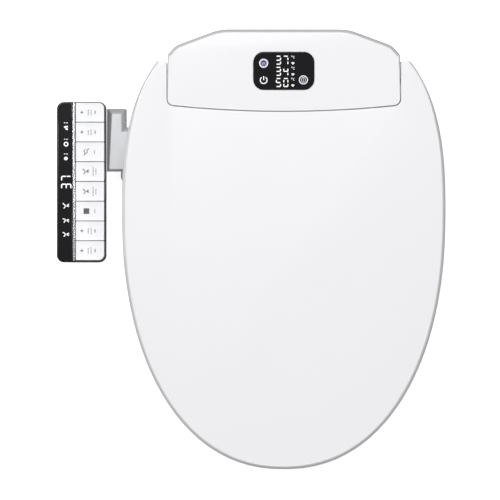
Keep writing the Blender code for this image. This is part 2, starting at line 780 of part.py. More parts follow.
def build_fixings():
    low_y = PLATE_Y - PLATE_DEPTH / 2
    high_y = PLATE_Y + PLATE_DEPTH / 2
    plate_high = (PLATE_HALF_WIDTH, high_y, PLATE_THICKNESS)
    plate = finish("mounting_plate", box((-PLATE_HALF_WIDTH, low_y, 0), plate_high, PLATE_EDGE), "off_white")
    rail_z = TRAY_FLOOR_Z - GAP
    rail_x = PLATE_HALF_WIDTH - RAIL_MARGIN
    for side in (-1, 1):
        ends = sorted((side * rail_x, side * (rail_x - RAIL_WIDTH)))
        low = (ends[0], low_y + 2 * MM, PLATE_THICKNESS / 2)
        add(plate, box(low, (ends[1], high_y - 2 * MM, rail_z)))
        x = side * BOLT_SPACING / 2
        size = (ADJUSTER_WIDTH + 2 * GAP, ADJUSTER_DEPTH + 2 * GAP)
        pocket = rounded_rectangle(x, 0, *size, ADJUSTER_CORNER + GAP, 3)
        cut(plate, prism(pocket, -MM, PLATE_THICKNESS + MM))
    for hand, side in (("left", 1), ("right", -1)):
        x = side * BOLT_SPACING / 2
        adjuster = rounded_rectangle(x, 0, ADJUSTER_WIDTH, ADJUSTER_DEPTH, ADJUSTER_CORNER, 3)
        body = finish(f"bolt_adjuster_{hand}", prism(adjuster, 0, PLATE_THICKNESS), "dark_case")
        hole = circle((x, 0), BOLT_RADIUS + GAP)
        cut(body, prism(hole, -MM, PLATE_THICKNESS + MM))
        build_bolt(hand, x)


def build_bolt(hand, x):
    shank = circle((x, 0), BOLT_RADIUS, 24)
    head = hexagon((x, 0), 2 * BOLT_HEAD_RADIUS)
    head_z = PLATE_THICKNESS + GAP
    rings = [at_height(shank, -BOLT_LENGTH), at_height(shank, head_z)]
    rings += [at_height(head, head_z), at_height(head, head_z + BOLT_HEAD_HEIGHT)]
    finish(f"fixing_bolt_{hand}", loft(rings), "steel")
    bore = circle((x, 0), BOLT_RADIUS + GAP, 24)
    high = -BOWL_THICKNESS
    low = high - WASHER_HEIGHT
    wide = circle((x, 0), WASHER_LOW_RADIUS, 24)
    narrow = circle((x, 0), WASHER_TOP_RADIUS, 24)
    rings = [at_height(bore, low), at_height(wide, low), at_height(narrow, high), at_height(bore, high)]
    finish(f"cone_washer_{hand}", loft(rings, closed=True), "rubber")
    outer = hexagon((x, 0), NUT_WIDTH)
    top = low - GAP
    bottom = top - NUT_HEIGHT
    rings = [at_height(bore, bottom), at_height(outer, bottom), at_height(outer, top), at_height(bore, top)]
    finish(f"fixing_nut_{hand}", loft(rings, closed=True), "off_white")


def build_side_fittings(button_pivot):
    """Water inlet, mains gland and release button on the user's left side of the tray."""
    wall_x = COVER_HALF_WIDTH - TRAY_INSET
    inside = wall_x - TRAY_WALL
    y, z, radius = INLET_PLACE
    reach = wall_x + INLET_REACH
    stub = finish("water_inlet", rod((inside - 8 * MM, y, z), (reach, y, z), radius), "brass")
    cut(stub, rod((reach - 10 * MM, y, z), (reach + MM, y, z), INLET_BORE_RADIUS))
    y, z, radius = GLAND_PLACE
    gland = rod((inside - 5 * MM, y, z), (wall_x + GLAND_REACH, y, z), radius, 16, 0.8 * radius)
    finish("power_gland", gland, "black_plastic")
    y, z, radius = BUTTON_PLACE
    button = rod((inside - 6 * MM, y, z), (wall_x + BUTTON_REACH, y, z), radius, 20)
    finish("release_button", button, "off_white", button_pivot)


def build_water_parts():
    floor = TRAY_FLOOR_Z + TRAY_WALL + GAP
    left = TANK_MARGIN - INNER_X
    high = (left + TANK_WIDTH, TANK_REAR_Y, INNER_TOP_Z)
    finish("water_heater_tank", box((left, TANK_FRONT_Y, floor), high, TANK_EDGE), "off_white")
    left = VALVE_MARGIN - INNER_X
    front = TANK_REAR_Y + VALVE_TO_TANK
    high = (left + VALVE_WIDTH, front + VALVE_DEPTH, VALVE_HIGH_Z)
    valve = finish("valve_block", box((left, front, floor), high, MM), "brass")
    x = left + VALVE_WIDTH / 2
    y = front + VALVE_DEPTH / 2
    stem_high = (x, y, INNER_TOP_Z + MM)
    add(valve, rod((x, y, VALVE_HIGH_Z - MM), stem_high, VALVE_STEM_RADIUS, 16))
    x = INNER_X - PUMP_MARGIN - PUMP_RADIUS
    z = floor + PUMP_RADIUS + MM
    pump = rod((x, PUMP_FRONT_Y, z), (x, PUMP_FRONT_Y + PUMP_LENGTH, z), PUMP_RADIUS)
    finish("air_pump", pump, "black_plastic")
    board_y = COVER_REAR_Y - TRAY_INSET - TRAY_WALL - 3 * MM
    high = (MAIN_BOARD_RIGHT, board_y + BOARD_THICKNESS, INNER_TOP_Z)
    finish("main_board", box((MAIN_BOARD_LEFT, board_y, floor), high), "board_green")


def build_nozzles(pivots):
    half = NOZZLE_SPACING / 2 + NOZZLE_RADIUS + GUIDE_WALL
    front = TRAY_FRONT_Y + TRAY_WALL + GAP
    rear = GUIDE_REAR_Y
    floor = TRAY_FLOOR_Z + TRAY_WALL + GAP
    rise = (rear - front) * math.tan(NOZZLE_SLOPE)
    high = NOZZLE_FRONT_Z + NOZZLE_RADIUS + 3.5 * MM
    profile = [(front, floor), (rear, floor), (rear, high + rise), (front, high)]
    guide = finish("nozzle_guide", side_prism(profile, NOZZLE_X - half, NOZZLE_X + half), "off_white")
    for index, name in enumerate(("rear_wash", "front_wash")):
        parent = pivots[index]
        cut(guide, rod(nozzle_ends(index, -10 * MM), nozzle_ends(index, 100 * MM), NOZZLE_RADIUS + GAP))
        middle = nozzle_ends(index, NOZZLE_TIP_LENGTH)
        tip = rod(middle, nozzle_ends(index), NOZZLE_RADIUS, 20, 0.86 * NOZZLE_RADIUS)
        finish(f"{name}_nozzle_tip", tip, "white_shell", parent)
        start = nozzle_ends(index, NOZZLE_TIP_LENGTH + GAP)
        wand = rod(start, nozzle_ends(index, NOZZLE_LENGTH), NOZZLE_RADIUS)
        finish(f"{name}_nozzle_wand", wand, "steel", parent)
    for index, side in enumerate((-1, 1)):
        near = NOZZLE_X + side * (half + GAP)
        ends = ((near, *MOTOR_PLACE), (near + side * MOTOR_LENGTH, *MOTOR_PLACE))
        finish(f"nozzle_motor_{index + 1}", rod(*ends, MOTOR_RADIUS), "steel")
    low = (NOZZLE_X - half, TRAY_FRONT_Y - 6 * MM, NOZZLE_FRONT_Z + NOZZLE_RADIUS + 2.5 * MM)
    corner = (NOZZLE_X + half, TRAY_FRONT_Y - GAP, low[2] + 2.5 * MM)
    finish("nozzle_hood", box(low, corner, 0.8 * MM), "off_white")


def build_dryer(fan_pivot, flap_pivot):
    centre = (FAN_X, FAN_Y)
    floor = TRAY_FLOOR_Z + TRAY_WALL + GAP
    drum_inner = FAN_RADIUS + FAN_CLEARANCE
    drum_outer = drum_inner + DRUM_WALL
    outer = circle(centre, drum_outer, 28)
    inner = circle(centre, drum_inner, 28)
    rings = [at_height(outer, floor), at_height(outer, DRUM_HIGH_Z), at_height(inner, DRUM_HIGH_Z)]
    rings.append(at_height(inner, floor + DRUM_WALL))
    drum = finish("fan_housing", loft(rings), "black_plastic")
    half = DUCT_WIDTH / 2
    low_z = DUCT_Z - DUCT_HEIGHT / 2
    high_z = DUCT_Z + DUCT_HEIGHT / 2
    front = TRAY_FRONT_Y + TRAY_WALL + GAP
    mouth_low = (FAN_X - half + 3 * MM, FAN_Y - drum_outer - 4 * MM, low_z + 2 * MM)
    mouth_high = (FAN_X + half - 3 * MM, FAN_Y - drum_inner / 2, high_z - 2 * MM)
    cut(drum, box(mouth_low, mouth_high))
    duct_rear = FAN_Y - drum_outer - GAP
    duct_high = (FAN_X + half, duct_rear, high_z)
    duct = finish("dryer_duct", box((FAN_X - half, front, low_z), duct_high), "off_white")
    low = (FAN_X - half + DUCT_WALL, front - MM, low_z + DUCT_WALL)
    cut(duct, box(low, (FAN_X + half - DUCT_WALL, duct_rear + MM, high_z - DUCT_WALL)))
    blades = []
    for step in range(4 * FAN_BLADES):
        radius = FAN_RADIUS if step % 4 in (0, 1) else 0.55 * FAN_RADIUS
        angle = 2 * math.pi * (step + (0.35 if step % 4 else 0)) / (4 * FAN_BLADES)
        blades.append((FAN_X + radius * math.cos(angle), FAN_Y + radius * math.sin(angle)))
    fan_low = floor + DRUM_WALL + FAN_CLEARANCE
    fan_high = fan_low + FAN_LENGTH
    finish("dryer_fan", prism(blades, fan_low, fan_high), "off_white", fan_pivot)
    motor = rod((*centre, fan_high + MM), (*centre, INNER_TOP_Z - 5 * MM), FAN_MOTOR_RADIUS)
    finish("fan_motor", motor, "steel")

    low = (FAN_X - half - 1.5 * MM, TRAY_FRONT_Y - 2.2 * MM, low_z - 1.2 * MM)
    corner = (FAN_X + half + 1.5 * MM, TRAY_FRONT_Y - GAP, high_z + 1.2 * MM)
    finish("dryer_flap", box(low, corner, 0.5 * MM), "off_white", flap_pivot)


# Side panel


def panel_x(distance):
    return PANEL_LEFT + distance


def build_arm():
    right = -(COVER_HALF_WIDTH - TRAY_INSET + GAP)
    left = PANEL_LEFT + PANEL_WIDTH + GAP
    leg = right - ARM_LEG_WIDTH
    corners = [
        (left, ARM_FRONT_Y, 0),
        (ARM_LOBE_LEFT, ARM_FRONT_Y, 0),
        (ARM_LOBE_LEFT, ARM_LOBE_FRONT_Y, 0),
        (right - 6 * MM, ARM_LOBE_FRONT_Y, 0),
        (right - 6 * MM, TRAY_FRONT_Y, 0),
        (right, TRAY_FRONT_Y, 0),
        (right, ARM_LEG_REAR_Y, 0),
        (leg, ARM_LEG_REAR_Y, 0),
        (leg, ARM_BLOCK_FRONT_Y, 0),
        (ARM_BLOCK_RIGHT, ARM_BLOCK_FRONT_Y, 0),
        (ARM_BLOCK_RIGHT, ARM_REAR_Y, 0),
        (left, ARM_REAR_Y, 0),
    ]
    radii = [0, 0, ARM_LOBE_CORNER, 5 * MM, 0, 0, 0, 3 * MM, 0, 0, 3 * MM, 0]
    outline = [point[:2] for point in rounded(corners, radii, 4)]
    rings = [
        at_height(outline, ARM_BOTTOM_Z),
        at_height(outline, ARM_TOP_Z - 1.5 * MM),
        at_height(inset(outline, 1.5 * MM), ARM_TOP_Z),
    ]
    finish("panel_arm", loft(rings), "off_white")


def build_panel():
    centre_x = PANEL_LEFT + PANEL_WIDTH / 2
    centre_y = PANEL_REAR_Y - PANEL_LENGTH / 2
    outline = rounded_rectangle(centre_x, centre_y, PANEL_WIDTH, PANEL_LENGTH, PANEL_CORNER)
    inner = inset(outline, PANEL_WALL)
    deck_z = PANEL_TOP_Z - KEY_HEIGHT - KEY_TRAVEL
    rings = [
        at_height(inset(outline, 3 * MM), PANEL_BOTTOM_Z),
        at_height(outline, PANEL_BOTTOM_Z + 5 * MM),
        at_height(outline, deck_z),
        at_height(inner, deck_z),
        at_height(inner, PANEL_BOTTOM_Z + 6 * MM),
    ]
    finish("panel_case", loft(rings), "dark_case")

    strip = []
    for x, y in outline:
        strip.append((min(x, panel_x(STRIP_WIDTH)), y))
    unique = [point for i, point in enumerate(strip) if math.dist(point, strip[i - 1]) > 0.05 * MM]
    rings = [at_height(unique, deck_z + GAP), at_height(unique, PANEL_TOP_Z - MM)]
    rings.append(at_height(inset(unique, 0.8 * MM), PANEL_TOP_Z))
    finish("panel_window", loft(rings), "black_glass")

    trim_left = panel_x(STRIP_WIDTH + GAP)
    trim_right = trim_left + TRIM_WIDTH
    front = PANEL_REAR_Y - PANEL_LENGTH
    low = (trim_left, front + PANEL_WALL + GAP, deck_z + GAP)
    trim = box(low, (trim_right, PANEL_REAR_Y - 0.8 * MM, PANEL_TOP_Z - 0.2 * MM), 0.5 * MM)
    finish("panel_trim", trim, "silver_trim")

    board = inset(outline, PANEL_WALL + MM)
    board_z = deck_z - 5 * MM
    finish("panel_board", prism(board, board_z, board_z + BOARD_THICKNESS), "board_green")
    key_left = trim_right + 2 * GAP
    key_right = panel_x(PANEL_WIDTH - PANEL_WALL) - GAP
    return key_left, key_right, front + PANEL_WALL + GAP, PANEL_REAR_Y - 0.8 * MM


KEY_NAMES = (
    "pressure_key",
    "position_key",
    "dry_key",
    "front_wash_key",
    "rear_wash_key",
    "stop_key",
    "water_heat_key",
    "seat_heat_key",
)


def build_keys(left, right, front, rear):
    pitch = (rear - front) / KEY_COUNT
    middle = (left + right) / 2
    for index, name in enumerate(KEY_NAMES):
        high_y = rear - index * pitch - KEY_LENGTH_GAP / 2
        low_y = high_y - pitch + KEY_LENGTH_GAP
        place = (middle, (low_y + high_y) / 2, PANEL_TOP_Z - KEY_HEIGHT / 2)
        parent = pivot(name + "_pivot", place)
        corners = [(right, low_y, 0), (right, high_y, 0), (left, high_y, 0), (left, low_y, 0)]
        radii = [0.8 * MM] * 4
        if index == 0:
            radii[1] = PANEL_CORNER - PANEL_WALL
        if index == KEY_COUNT - 1:
            radii[0] = PANEL_CORNER - PANEL_WALL
        outline = [point[:2] for point in rounded(corners, radii, 5)]
        rings = [
            at_height(outline, PANEL_TOP_Z - KEY_HEIGHT),
            at_height(outline, PANEL_TOP_Z - KEY_EDGE),
            at_height(inset(outline, KEY_EDGE), PANEL_TOP_Z),
        ]
        finish(name, loft(rings), "white_shell", parent)


def main():
    clear_scene()
    hinge = (0, HINGE_Y, HINGE_Z)
    build_lid(pivot("lid_pivot", hinge))
    build_lid_bumpers(bpy.data.objects["lid_pivot"])
    build_seat(pivot("seat_pivot", hinge))
    build_tray()
    build_cover()
    build_display()
    build_hinges()
    build_fixings()
    y, z, _ = BUTTON_PLACE
    build_side_fittings(pivot("release_pivot", (COVER_HALF_WIDTH, y, z)))
    build_water_parts()
    build_nozzles([pivot(f"nozzle_pivot_{i + 1}", nozzle_ends(i)) for i in (0, 1)])
    flap_place = (FAN_X, TRAY_FRONT_Y - 1.2 * MM, DUCT_Z + DUCT_HEIGHT / 2 + 0.7 * MM)
    build_dryer(pivot("fan_pivot", (FAN_X, FAN_Y, FAN_Z)), pivot("flap_pivot", flap_place))
    build_arm()
    build_keys(*build_panel())


main()
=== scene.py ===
# %% [markdown]
# # An electric bidet seat with a side key panel
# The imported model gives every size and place: the hinge line, the boxes of the parts and the
# bodies that move. This lesson puts the real surfaces on it: smooth moulded shells with
# rounded edges, a lit display, printed keys, and the metal and rubber underneath.

# %% Load the frame
import json
import math

import bmesh
import bpy
import numpy as np
from mathutils import Matrix, Vector


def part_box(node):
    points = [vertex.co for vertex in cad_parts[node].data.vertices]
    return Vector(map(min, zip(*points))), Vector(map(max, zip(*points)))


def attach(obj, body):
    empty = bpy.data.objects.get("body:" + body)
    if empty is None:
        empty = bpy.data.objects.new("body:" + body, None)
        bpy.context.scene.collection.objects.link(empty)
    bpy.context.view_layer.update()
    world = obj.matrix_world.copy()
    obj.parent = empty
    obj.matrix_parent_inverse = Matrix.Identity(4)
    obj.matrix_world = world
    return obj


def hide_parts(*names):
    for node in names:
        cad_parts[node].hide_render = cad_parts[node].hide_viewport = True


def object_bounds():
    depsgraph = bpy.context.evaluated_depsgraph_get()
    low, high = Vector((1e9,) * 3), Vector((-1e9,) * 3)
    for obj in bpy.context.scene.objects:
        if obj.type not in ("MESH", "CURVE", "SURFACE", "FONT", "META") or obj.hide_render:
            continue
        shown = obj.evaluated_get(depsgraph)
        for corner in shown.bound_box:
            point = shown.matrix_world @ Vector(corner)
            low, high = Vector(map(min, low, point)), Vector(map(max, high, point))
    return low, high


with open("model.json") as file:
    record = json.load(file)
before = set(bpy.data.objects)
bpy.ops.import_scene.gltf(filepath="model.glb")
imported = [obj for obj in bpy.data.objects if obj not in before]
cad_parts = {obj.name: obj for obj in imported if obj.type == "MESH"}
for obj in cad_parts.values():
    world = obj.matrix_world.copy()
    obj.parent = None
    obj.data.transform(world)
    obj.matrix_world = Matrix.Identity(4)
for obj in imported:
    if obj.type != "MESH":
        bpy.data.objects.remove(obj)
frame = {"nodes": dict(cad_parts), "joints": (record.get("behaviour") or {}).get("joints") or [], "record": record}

MM = 0.001
CAD_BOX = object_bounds()
JOINTS = {joint["name"]: joint for joint in frame["joints"]}

# %% [markdown]
# ## The studio
# A product shot from straight above wants a long lens, so that near and far parts keep one
# scale. The floor is white card. The main light hangs high behind the object, where the flat
# gloss and the black windows don't mirror it. Four small lights stand round it at about 45
# degrees: they add little light, but every rounded edge catches one as a bright line.

# %% Camera, floor and lights
FRAME_WIDTH = 576.4 * MM
LENS = 600.0
SENSOR = 36.0
CAMERA_SHIFT_X = -0.95 * MM
WORLD_STRENGTH = 0.20
BOX_LOW, BOX_HIGH = CAD_BOX
middle_x = (BOX_LOW[0] + BOX_HIGH[0]) / 2 + CAMERA_SHIFT_X
middle_y = (BOX_LOW[1] + BOX_HIGH[1]) / 2
SUBJECT_Z = 80 * MM

camera = bpy.data.objects.new("camera", bpy.data.cameras.new("camera"))
camera.data.lens = LENS
camera.data.sensor_width = SENSOR
camera.data.clip_end = 50
camera.location = (middle_x, middle_y, SUBJECT_Z + FRAME_WIDTH * LENS / SENSOR)
bpy.context.scene.collection.objects.link(camera)
bpy.context.scene.camera = camera
print("camera height", round(camera.location.z, 3))


def area_light(name, place, size, power, aim=(0, -0.2, 0.05)):
    data = bpy.data.lights.new(name, "AREA")
    data.energy = power
    data.size = size
    light = bpy.data.objects.new(name, data)
    light.location = place
    light.rotation_euler = (Vector(aim) - Vector(place)).to_track_quat("-Z", "Y").to_euler()
    bpy.context.scene.collection.objects.link(light)


area_light("overhead_light", (-0.35, 0.85, 3.1), 1.3, 62)
area_light("left_strip", (-1.7, 0.1, 1.7), 0.4, 9)
area_light("right_strip", (1.7, -0.2, 1.7), 0.35, 7)
area_light("rear_strip", (0.1, 1.9, 1.5), 0.5, 1.2)
area_light("front_strip", (-0.1, -2.2, 1.7), 0.4, 10)
world = bpy.data.worlds.new("studio")
bpy.context.scene.world = world
world.use_nodes = True
world.node_tree.nodes["Background"].inputs["Color"].default_value = (1, 1, 1, 1)
world.node_tree.nodes["Background"].inputs["Strength"].default_value = WORLD_STRENGTH
bpy.context.scene.view_settings.view_transform = "Standard"

# %% [markdown]
# ## Helpers for materials
# A maker names a finish by what it is: moulded ABS, acrylic, plated trim. Colours are written
# as sRGB hex, as on a colour card, and one function turns them into the linear values that
# a shader wants. One small function adds a node, sets it and links it.


# %% Colour and node helpers
def linear(hex_colour):
    """An sRGB hex colour as linear RGBA."""
    values = [int(hex_colour[i : i + 2], 16) / 255 for i in (1, 3, 5)]
    return (*[v / 12.92 if v <= 0.04045 else ((v + 0.055) / 1.055) ** 2.4 for v in values], 1.0)


def add_node(tree, kind, inputs=(), **settings):
    """Adds one node. inputs holds (socket, value or output socket) pairs."""
    node = tree.nodes.new(kind)
    for key, value in settings.items():
        setattr(node, key, value)
    for socket, value in inputs:
        target = node.inputs[socket]
        if isinstance(value, bpy.types.NodeSocket):
            tree.links.new(value, target)
        else:
            target.default_value = value
    return node


def calculate(tree, operation, first, second=None):
    """The output of one Math node."""
    inputs = [(0, first)] if second is None else [(0, first), (1, second)]
    return add_node(tree, "ShaderNodeMath", inputs, operation=operation).outputs[0]


def start_tree(name, floats, result):
    """A geometry tree that takes points, some lengths and a material, and its inputs."""
    tree = bpy.data.node_groups.new(name, "GeometryNodeTree")
    sockets = tree.interface
    sockets.new_socket("Points", in_out="INPUT", socket_type="NodeSocketGeometry")
    for title in floats:
        sockets.new_socket(title, in_out="INPUT", socket_type="NodeSocketFloat")
    sockets.new_socket("Material", in_out="INPUT", socket_type="NodeSocketMaterial")
    sockets.new_socket(result, in_out="OUTPUT", socket_type="NodeSocketGeometry")
    return tree, add_node(tree, "NodeGroupInput").outputs


def set_on_points(tree, given, instance, result):
    """Ends a tree: one instance on each point, with its turn, made real and given a material."""
    turn = add_node(
        tree, "GeometryNodeInputNamedAttribute", [("Name", "turn")], data_type="FLOAT_VECTOR"
    )
    placed = add_node(
        tree,
        "GeometryNodeInstanceOnPoints",
        [
            ("Points", given["Points"]),
            ("Instance", instance),
            ("Rotation", turn.outputs["Attribute"]),
        ],
    )
    real = add_node(tree, "GeometryNodeRealizeInstances", [(0, placed.outputs[0])])
    painted = add_node(
        tree,
        "GeometryNodeSetMaterial",
        [("Geometry", real.outputs[0]), ("Material", given["Material"])],
    )
    add_node(tree, "NodeGroupOutput", [(result, painted.outputs[0])])
    return tree


def moulded(name, colour, roughness, ior, grain_mm, depth, metallic=0.0, mottle=0.02, coat=0.0):
    """A surface with a fine grain, a little unevenness in gloss and a trace of colour change."""
    material = bpy.data.materials.new(name)
    material.use_nodes = True
    tree = material.node_tree
    shader = tree.nodes["Principled BSDF"]
    shader.inputs["IOR"].default_value = ior
    shader.inputs["Metallic"].default_value = metallic
    shader.inputs["Coat Weight"].default_value = coat
    shader.inputs["Coat Roughness"].default_value = 0.05
    place = add_node(tree, "ShaderNodeTexCoord")
    cloud = add_node(
        tree,
        "ShaderNodeTexNoise",
        [("Vector", place.outputs["Object"]), ("Scale", 9.0), ("Detail", 3.0)],
    )
    gloss = add_node(
        tree,
        "ShaderNodeMapRange",
        [("Value", cloud.outputs["Fac"]), (3, roughness * 0.88), (4, roughness * 1.12)],
    )
    tree.links.new(gloss.outputs[0], shader.inputs["Roughness"])
    base = linear(colour)
    dark = tuple(c * (1 - mottle) for c in base[:3]) + (1.0,)
    shade = add_node(
        tree,
        "ShaderNodeMix",
        [(0, cloud.outputs["Fac"]), (6, dark), (7, base)],
        data_type="RGBA",
    )
    tree.links.new(shade.outputs[2], shader.inputs["Base Color"])
    grain = add_node(
        tree,
        "ShaderNodeTexNoise",
        [("Vector", place.outputs["Object"]), ("Scale", 1 / (grain_mm * MM)), ("Detail", 2.0)],
    )
    bump = add_node(
        tree,
        "ShaderNodeBump",
        [("Height", grain.outputs["Fac"]), ("Strength", depth), ("Distance", 0.02 * MM)],
    )
    tree.links.new(bump.outputs[0], shader.inputs["Normal"])
    return material


def lit(name, colour, strength):
    """A lamp-lit mark behind black acrylic: a plain diffuse white that also glows."""
    material = bpy.data.materials.new(name)
    material.use_nodes = True
    tree = material.node_tree
    shader = tree.nodes["Principled BSDF"]
    shader.inputs["Roughness"].default_value = 0.4
    shader.inputs["Emission Strength"].default_value = strength
    shader.inputs["Emission Color"].default_value = linear(colour)
    place = add_node(tree, "ShaderNodeTexCoord")
    cloud = add_node(
        tree, "ShaderNodeTexNoise", [("Vector", place.outputs["Object"]), ("Scale", 400.0)]
    )
    base = linear(colour)
    dark = tuple(c * 0.92 for c in base[:3]) + (1.0,)
    shade = add_node(
        tree,
        "ShaderNodeMix",
        [(0, cloud.outputs["Fac"]), (6, dark), (7, base)],
        data_type="RGBA",
    )
    tree.links.new(shade.outputs[2], shader.inputs["Base Color"])
    return material


# %% [markdown]
# ## The finishes
# The shells are injection-moulded ABS from a polished tool: hard, white and glossy, IOR 1.54.
# Parts that face down come from an etched tool, which gives a satin grain of a few tenths of
# a millimetre. The windows are cast acrylic, IOR 1.49, over black backing. Grain finer than
# half a millimetre doesn't show from here, so it is drawn at about that size.

# %% Make the finishes
GLOSS_ABS = moulded("gloss_white_abs", "#F3F3F5", 0.24, 1.54, 1.2, 0.04, coat=0.15)
SATIN_ABS = moulded("satin_white_abs", "#E4E5E8", 0.42, 1.54, 0.6, 0.15)
KEY_ABS = moulded("key_white_abs", "#F1F1F4", 0.38, 1.54, 0.5, 0.10)
BLACK_ACRYLIC = moulded("black_acrylic", "#161618", 0.09, 1.49, 2.0, 0.01, mottle=0.1)
DARK_ABS = moulded("dark_grey_abs", "#19191B", 0.40, 1.54, 0.5, 0.20, mottle=0.08)
BLACK_NYLON = moulded("black_nylon", "#17171A", 0.50, 1.53, 0.5, 0.25, mottle=0.10)
PLATED_TRIM = moulded("silver_plated_trim", "#C9C9CC", 0.24, 1.5, 1.5, 0.005, metallic=0.9)
STAINLESS = moulded("stainless_steel", "#B9BABD", 0.27, 1.45, 0.5, 0.12, metallic=1.0)
BRASS = moulded("machined_brass", "#C9A35A", 0.28, 1.45, 0.5, 0.12, metallic=1.0)
GREY_RUBBER = moulded("grey_rubber", "#8D8F93", 0.72, 1.52, 0.6, 0.35, mottle=0.06)
BOARD_LACQUER = moulded("green_solder_mask", "#1E5A38", 0.35, 1.50, 1.5, 0.10, mottle=0.25)
POLYIMIDE = moulded("polyimide_film", "#A8641E", 0.30, 1.70, 2.0, 0.10, mottle=0.20)
WHITE_LIGHT = lit("lit_white", "#FFFFFF", 0.15)
LILAC_LIGHT = lit("lit_lilac", "#C9C6EE", 0.10)
GREY_INK = moulded("grey_print", "#58585C", 0.55, 1.50, 0.8, 0.05, mottle=0.1)
PALE_CARD = moulded("white_card", "#FFFFFF", 0.85, 1.45, 4.0, 0.05)
card = PALE_CARD.node_tree.nodes["Principled BSDF"]
card.inputs["Emission Color"].default_value = (1, 1, 1, 1)
card.inputs["Emission Strength"].default_value = 0.7

SLOT_FINISH = {
    "white_gloss": GLOSS_ABS,
    "white_satin": SATIN_ABS,
    "black_gloss": BLACK_ACRYLIC,
    "silver_trim": PLATED_TRIM,
    "dark_grey": DARK_ABS,
    "black_plastic": BLACK_NYLON,
    "steel": STAINLESS,
    "rubber": GREY_RUBBER,
    "circuit_board": BOARD_LACQUER,
    "brass": BRASS,
    "heater_film": POLYIMIDE,
}
for entry in frame["record"]["subparts"]:
    node = frame["nodes"][entry["node"]]
    node.data.materials.clear()
    node.data.materials.append(SLOT_FINISH[entry["material_slot"]])

FLOOR_DROP = 3 * MM
floor_mesh = bpy.data.meshes.new("floor")
reach = 6.0
floor_z = BOX_LOW[2] - FLOOR_DROP
floor_corners = [(-reach, -reach), (reach, -reach), (reach, reach), (-reach, reach)]
floor_mesh.from_pydata([(x, y, floor_z) for x, y in floor_corners], [], [(0, 1, 2, 3)])
floor = bpy.data.objects.new("floor", floor_mesh)
floor.data.materials.append(PALE_CARD)
bpy.context.scene.collection.objects.link(floor)
# The card neither lights the object from below nor shines in its edges, so they keep their
# shade.
floor.visible_diffuse = False
floor.visible_glossy = False
print("finishes:", len(SLOT_FINISH))

# %% [markdown]
# ## Helpers for shapes
# Every shell here is a skin over a stack of matching outlines: the first outline is one
# edge, the last the other, and each ring between them is the same outline moved in or down
# a little. A rounded edge is a quarter circle of such rings.


# %% Shape helpers
def finish_piece(name, bm, material, body, nodes=(), sharp=32):
    """Makes a bmesh a finished piece that rides on a body and stands for CAD nodes."""
    bmesh.ops.remove_doubles(bm, verts=bm.verts, dist=1e-6)
    bmesh.ops.recalc_face_normals(bm, faces=bm.faces)
    mesh = bpy.data.meshes.new(name)
    bm.to_mesh(mesh)
    bm.free()
    mesh.materials.append(material)
    mesh.shade_smooth()
    mesh.set_sharp_from_angle(angle=math.radians(sharp))
    piece = bpy.data.objects.new(name, mesh)
    bpy.context.scene.collection.objects.link(piece)
    return settle(piece, body, nodes)


def settle(piece, body, nodes=()):
    if body:
        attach(piece, body)
    if nodes:
        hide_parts(*nodes)
    return piece


def skin(rings, closed=False, caps=True):
    """Faces between matching rings, with a cap on each end unless the last meets the first."""
    bm = bmesh.new()
    loops = [[bm.verts.new(point) for point in ring] for ring in rings]
    pairs = list(zip(loops, loops[1:]))
    if closed:
        pairs.append((loops[-1], loops[0]))
    for low, high in pairs:
        for i in range(len(low)):
            j = (i + 1) % len(low)
            bm.faces.new((low[i], low[j], high[j], high[i]))
    if caps and not closed:
        bm.faces.new(loops[0])
        bm.faces.new(loops[-1])
    return bm


def join(bm, other):
    """Adds a second bmesh to the first."""
    mesh = bpy.data.meshes.new("part")
    other.to_mesh(mesh)
    other.free()
    bm.from_mesh(mesh)
    bpy.data.meshes.remove(mesh)
    return bm


def carve(bm, tools):
    """The solid after each (operation, bmesh) has been united with it or cut from it."""
    objects = []
    for part in [bm] + [tool for _, tool in tools]:
        bmesh.ops.remove_doubles(part, verts=part.verts, dist=1e-6)
        bmesh.ops.recalc_face_normals(part, faces=part.faces)
        mesh = bpy.data.meshes.new("carving")
        part.to_mesh(mesh)
        part.free()
        obj = bpy.data.objects.new("carving", mesh)
        bpy.context.scene.collection.objects.link(obj)
        objects.append(obj)
    for (operation, _), tool in zip(tools, objects[1:]):
        modifier = objects[0].modifiers.new("cut", "BOOLEAN")
        modifier.operation = operation
        modifier.object = tool
    bpy.context.view_layer.update()
    graph = bpy.context.evaluated_depsgraph_get()
    result = bpy.data.meshes.new_from_object(objects[0].evaluated_get(graph))
    carved = bmesh.new()
    carved.from_mesh(result)
    bpy.data.meshes.remove(result)
    for obj in objects:
        mesh = obj.data
        bpy.data.objects.remove(obj)
        bpy.data.meshes.remove(mesh)
    return carved


def inset(outline, distance):
    """The closed anticlockwise outline moved inwards, by one distance or one for each point."""
    points = np.array([point[:2] for point in outline])
    ahead = np.roll(points, -1, axis=0) - points
    ahead /= np.linalg.norm(ahead, axis=1)[:, None]
    behind = np.roll(ahead, 1, axis=0)
    middle = np.stack([-ahead[:, 1] - behind[:, 1], ahead[:, 0] + behind[:, 0]], axis=1)
    across = np.stack([-ahead[:, 1], ahead[:, 0]], axis=1)
    middle /= np.sum(middle * across, axis=1)[:, None]
    step = np.broadcast_to(np.asarray(distance, float), (len(points),))[:, None]
    return [tuple(point) for point in unfold(points, points + middle * step)]


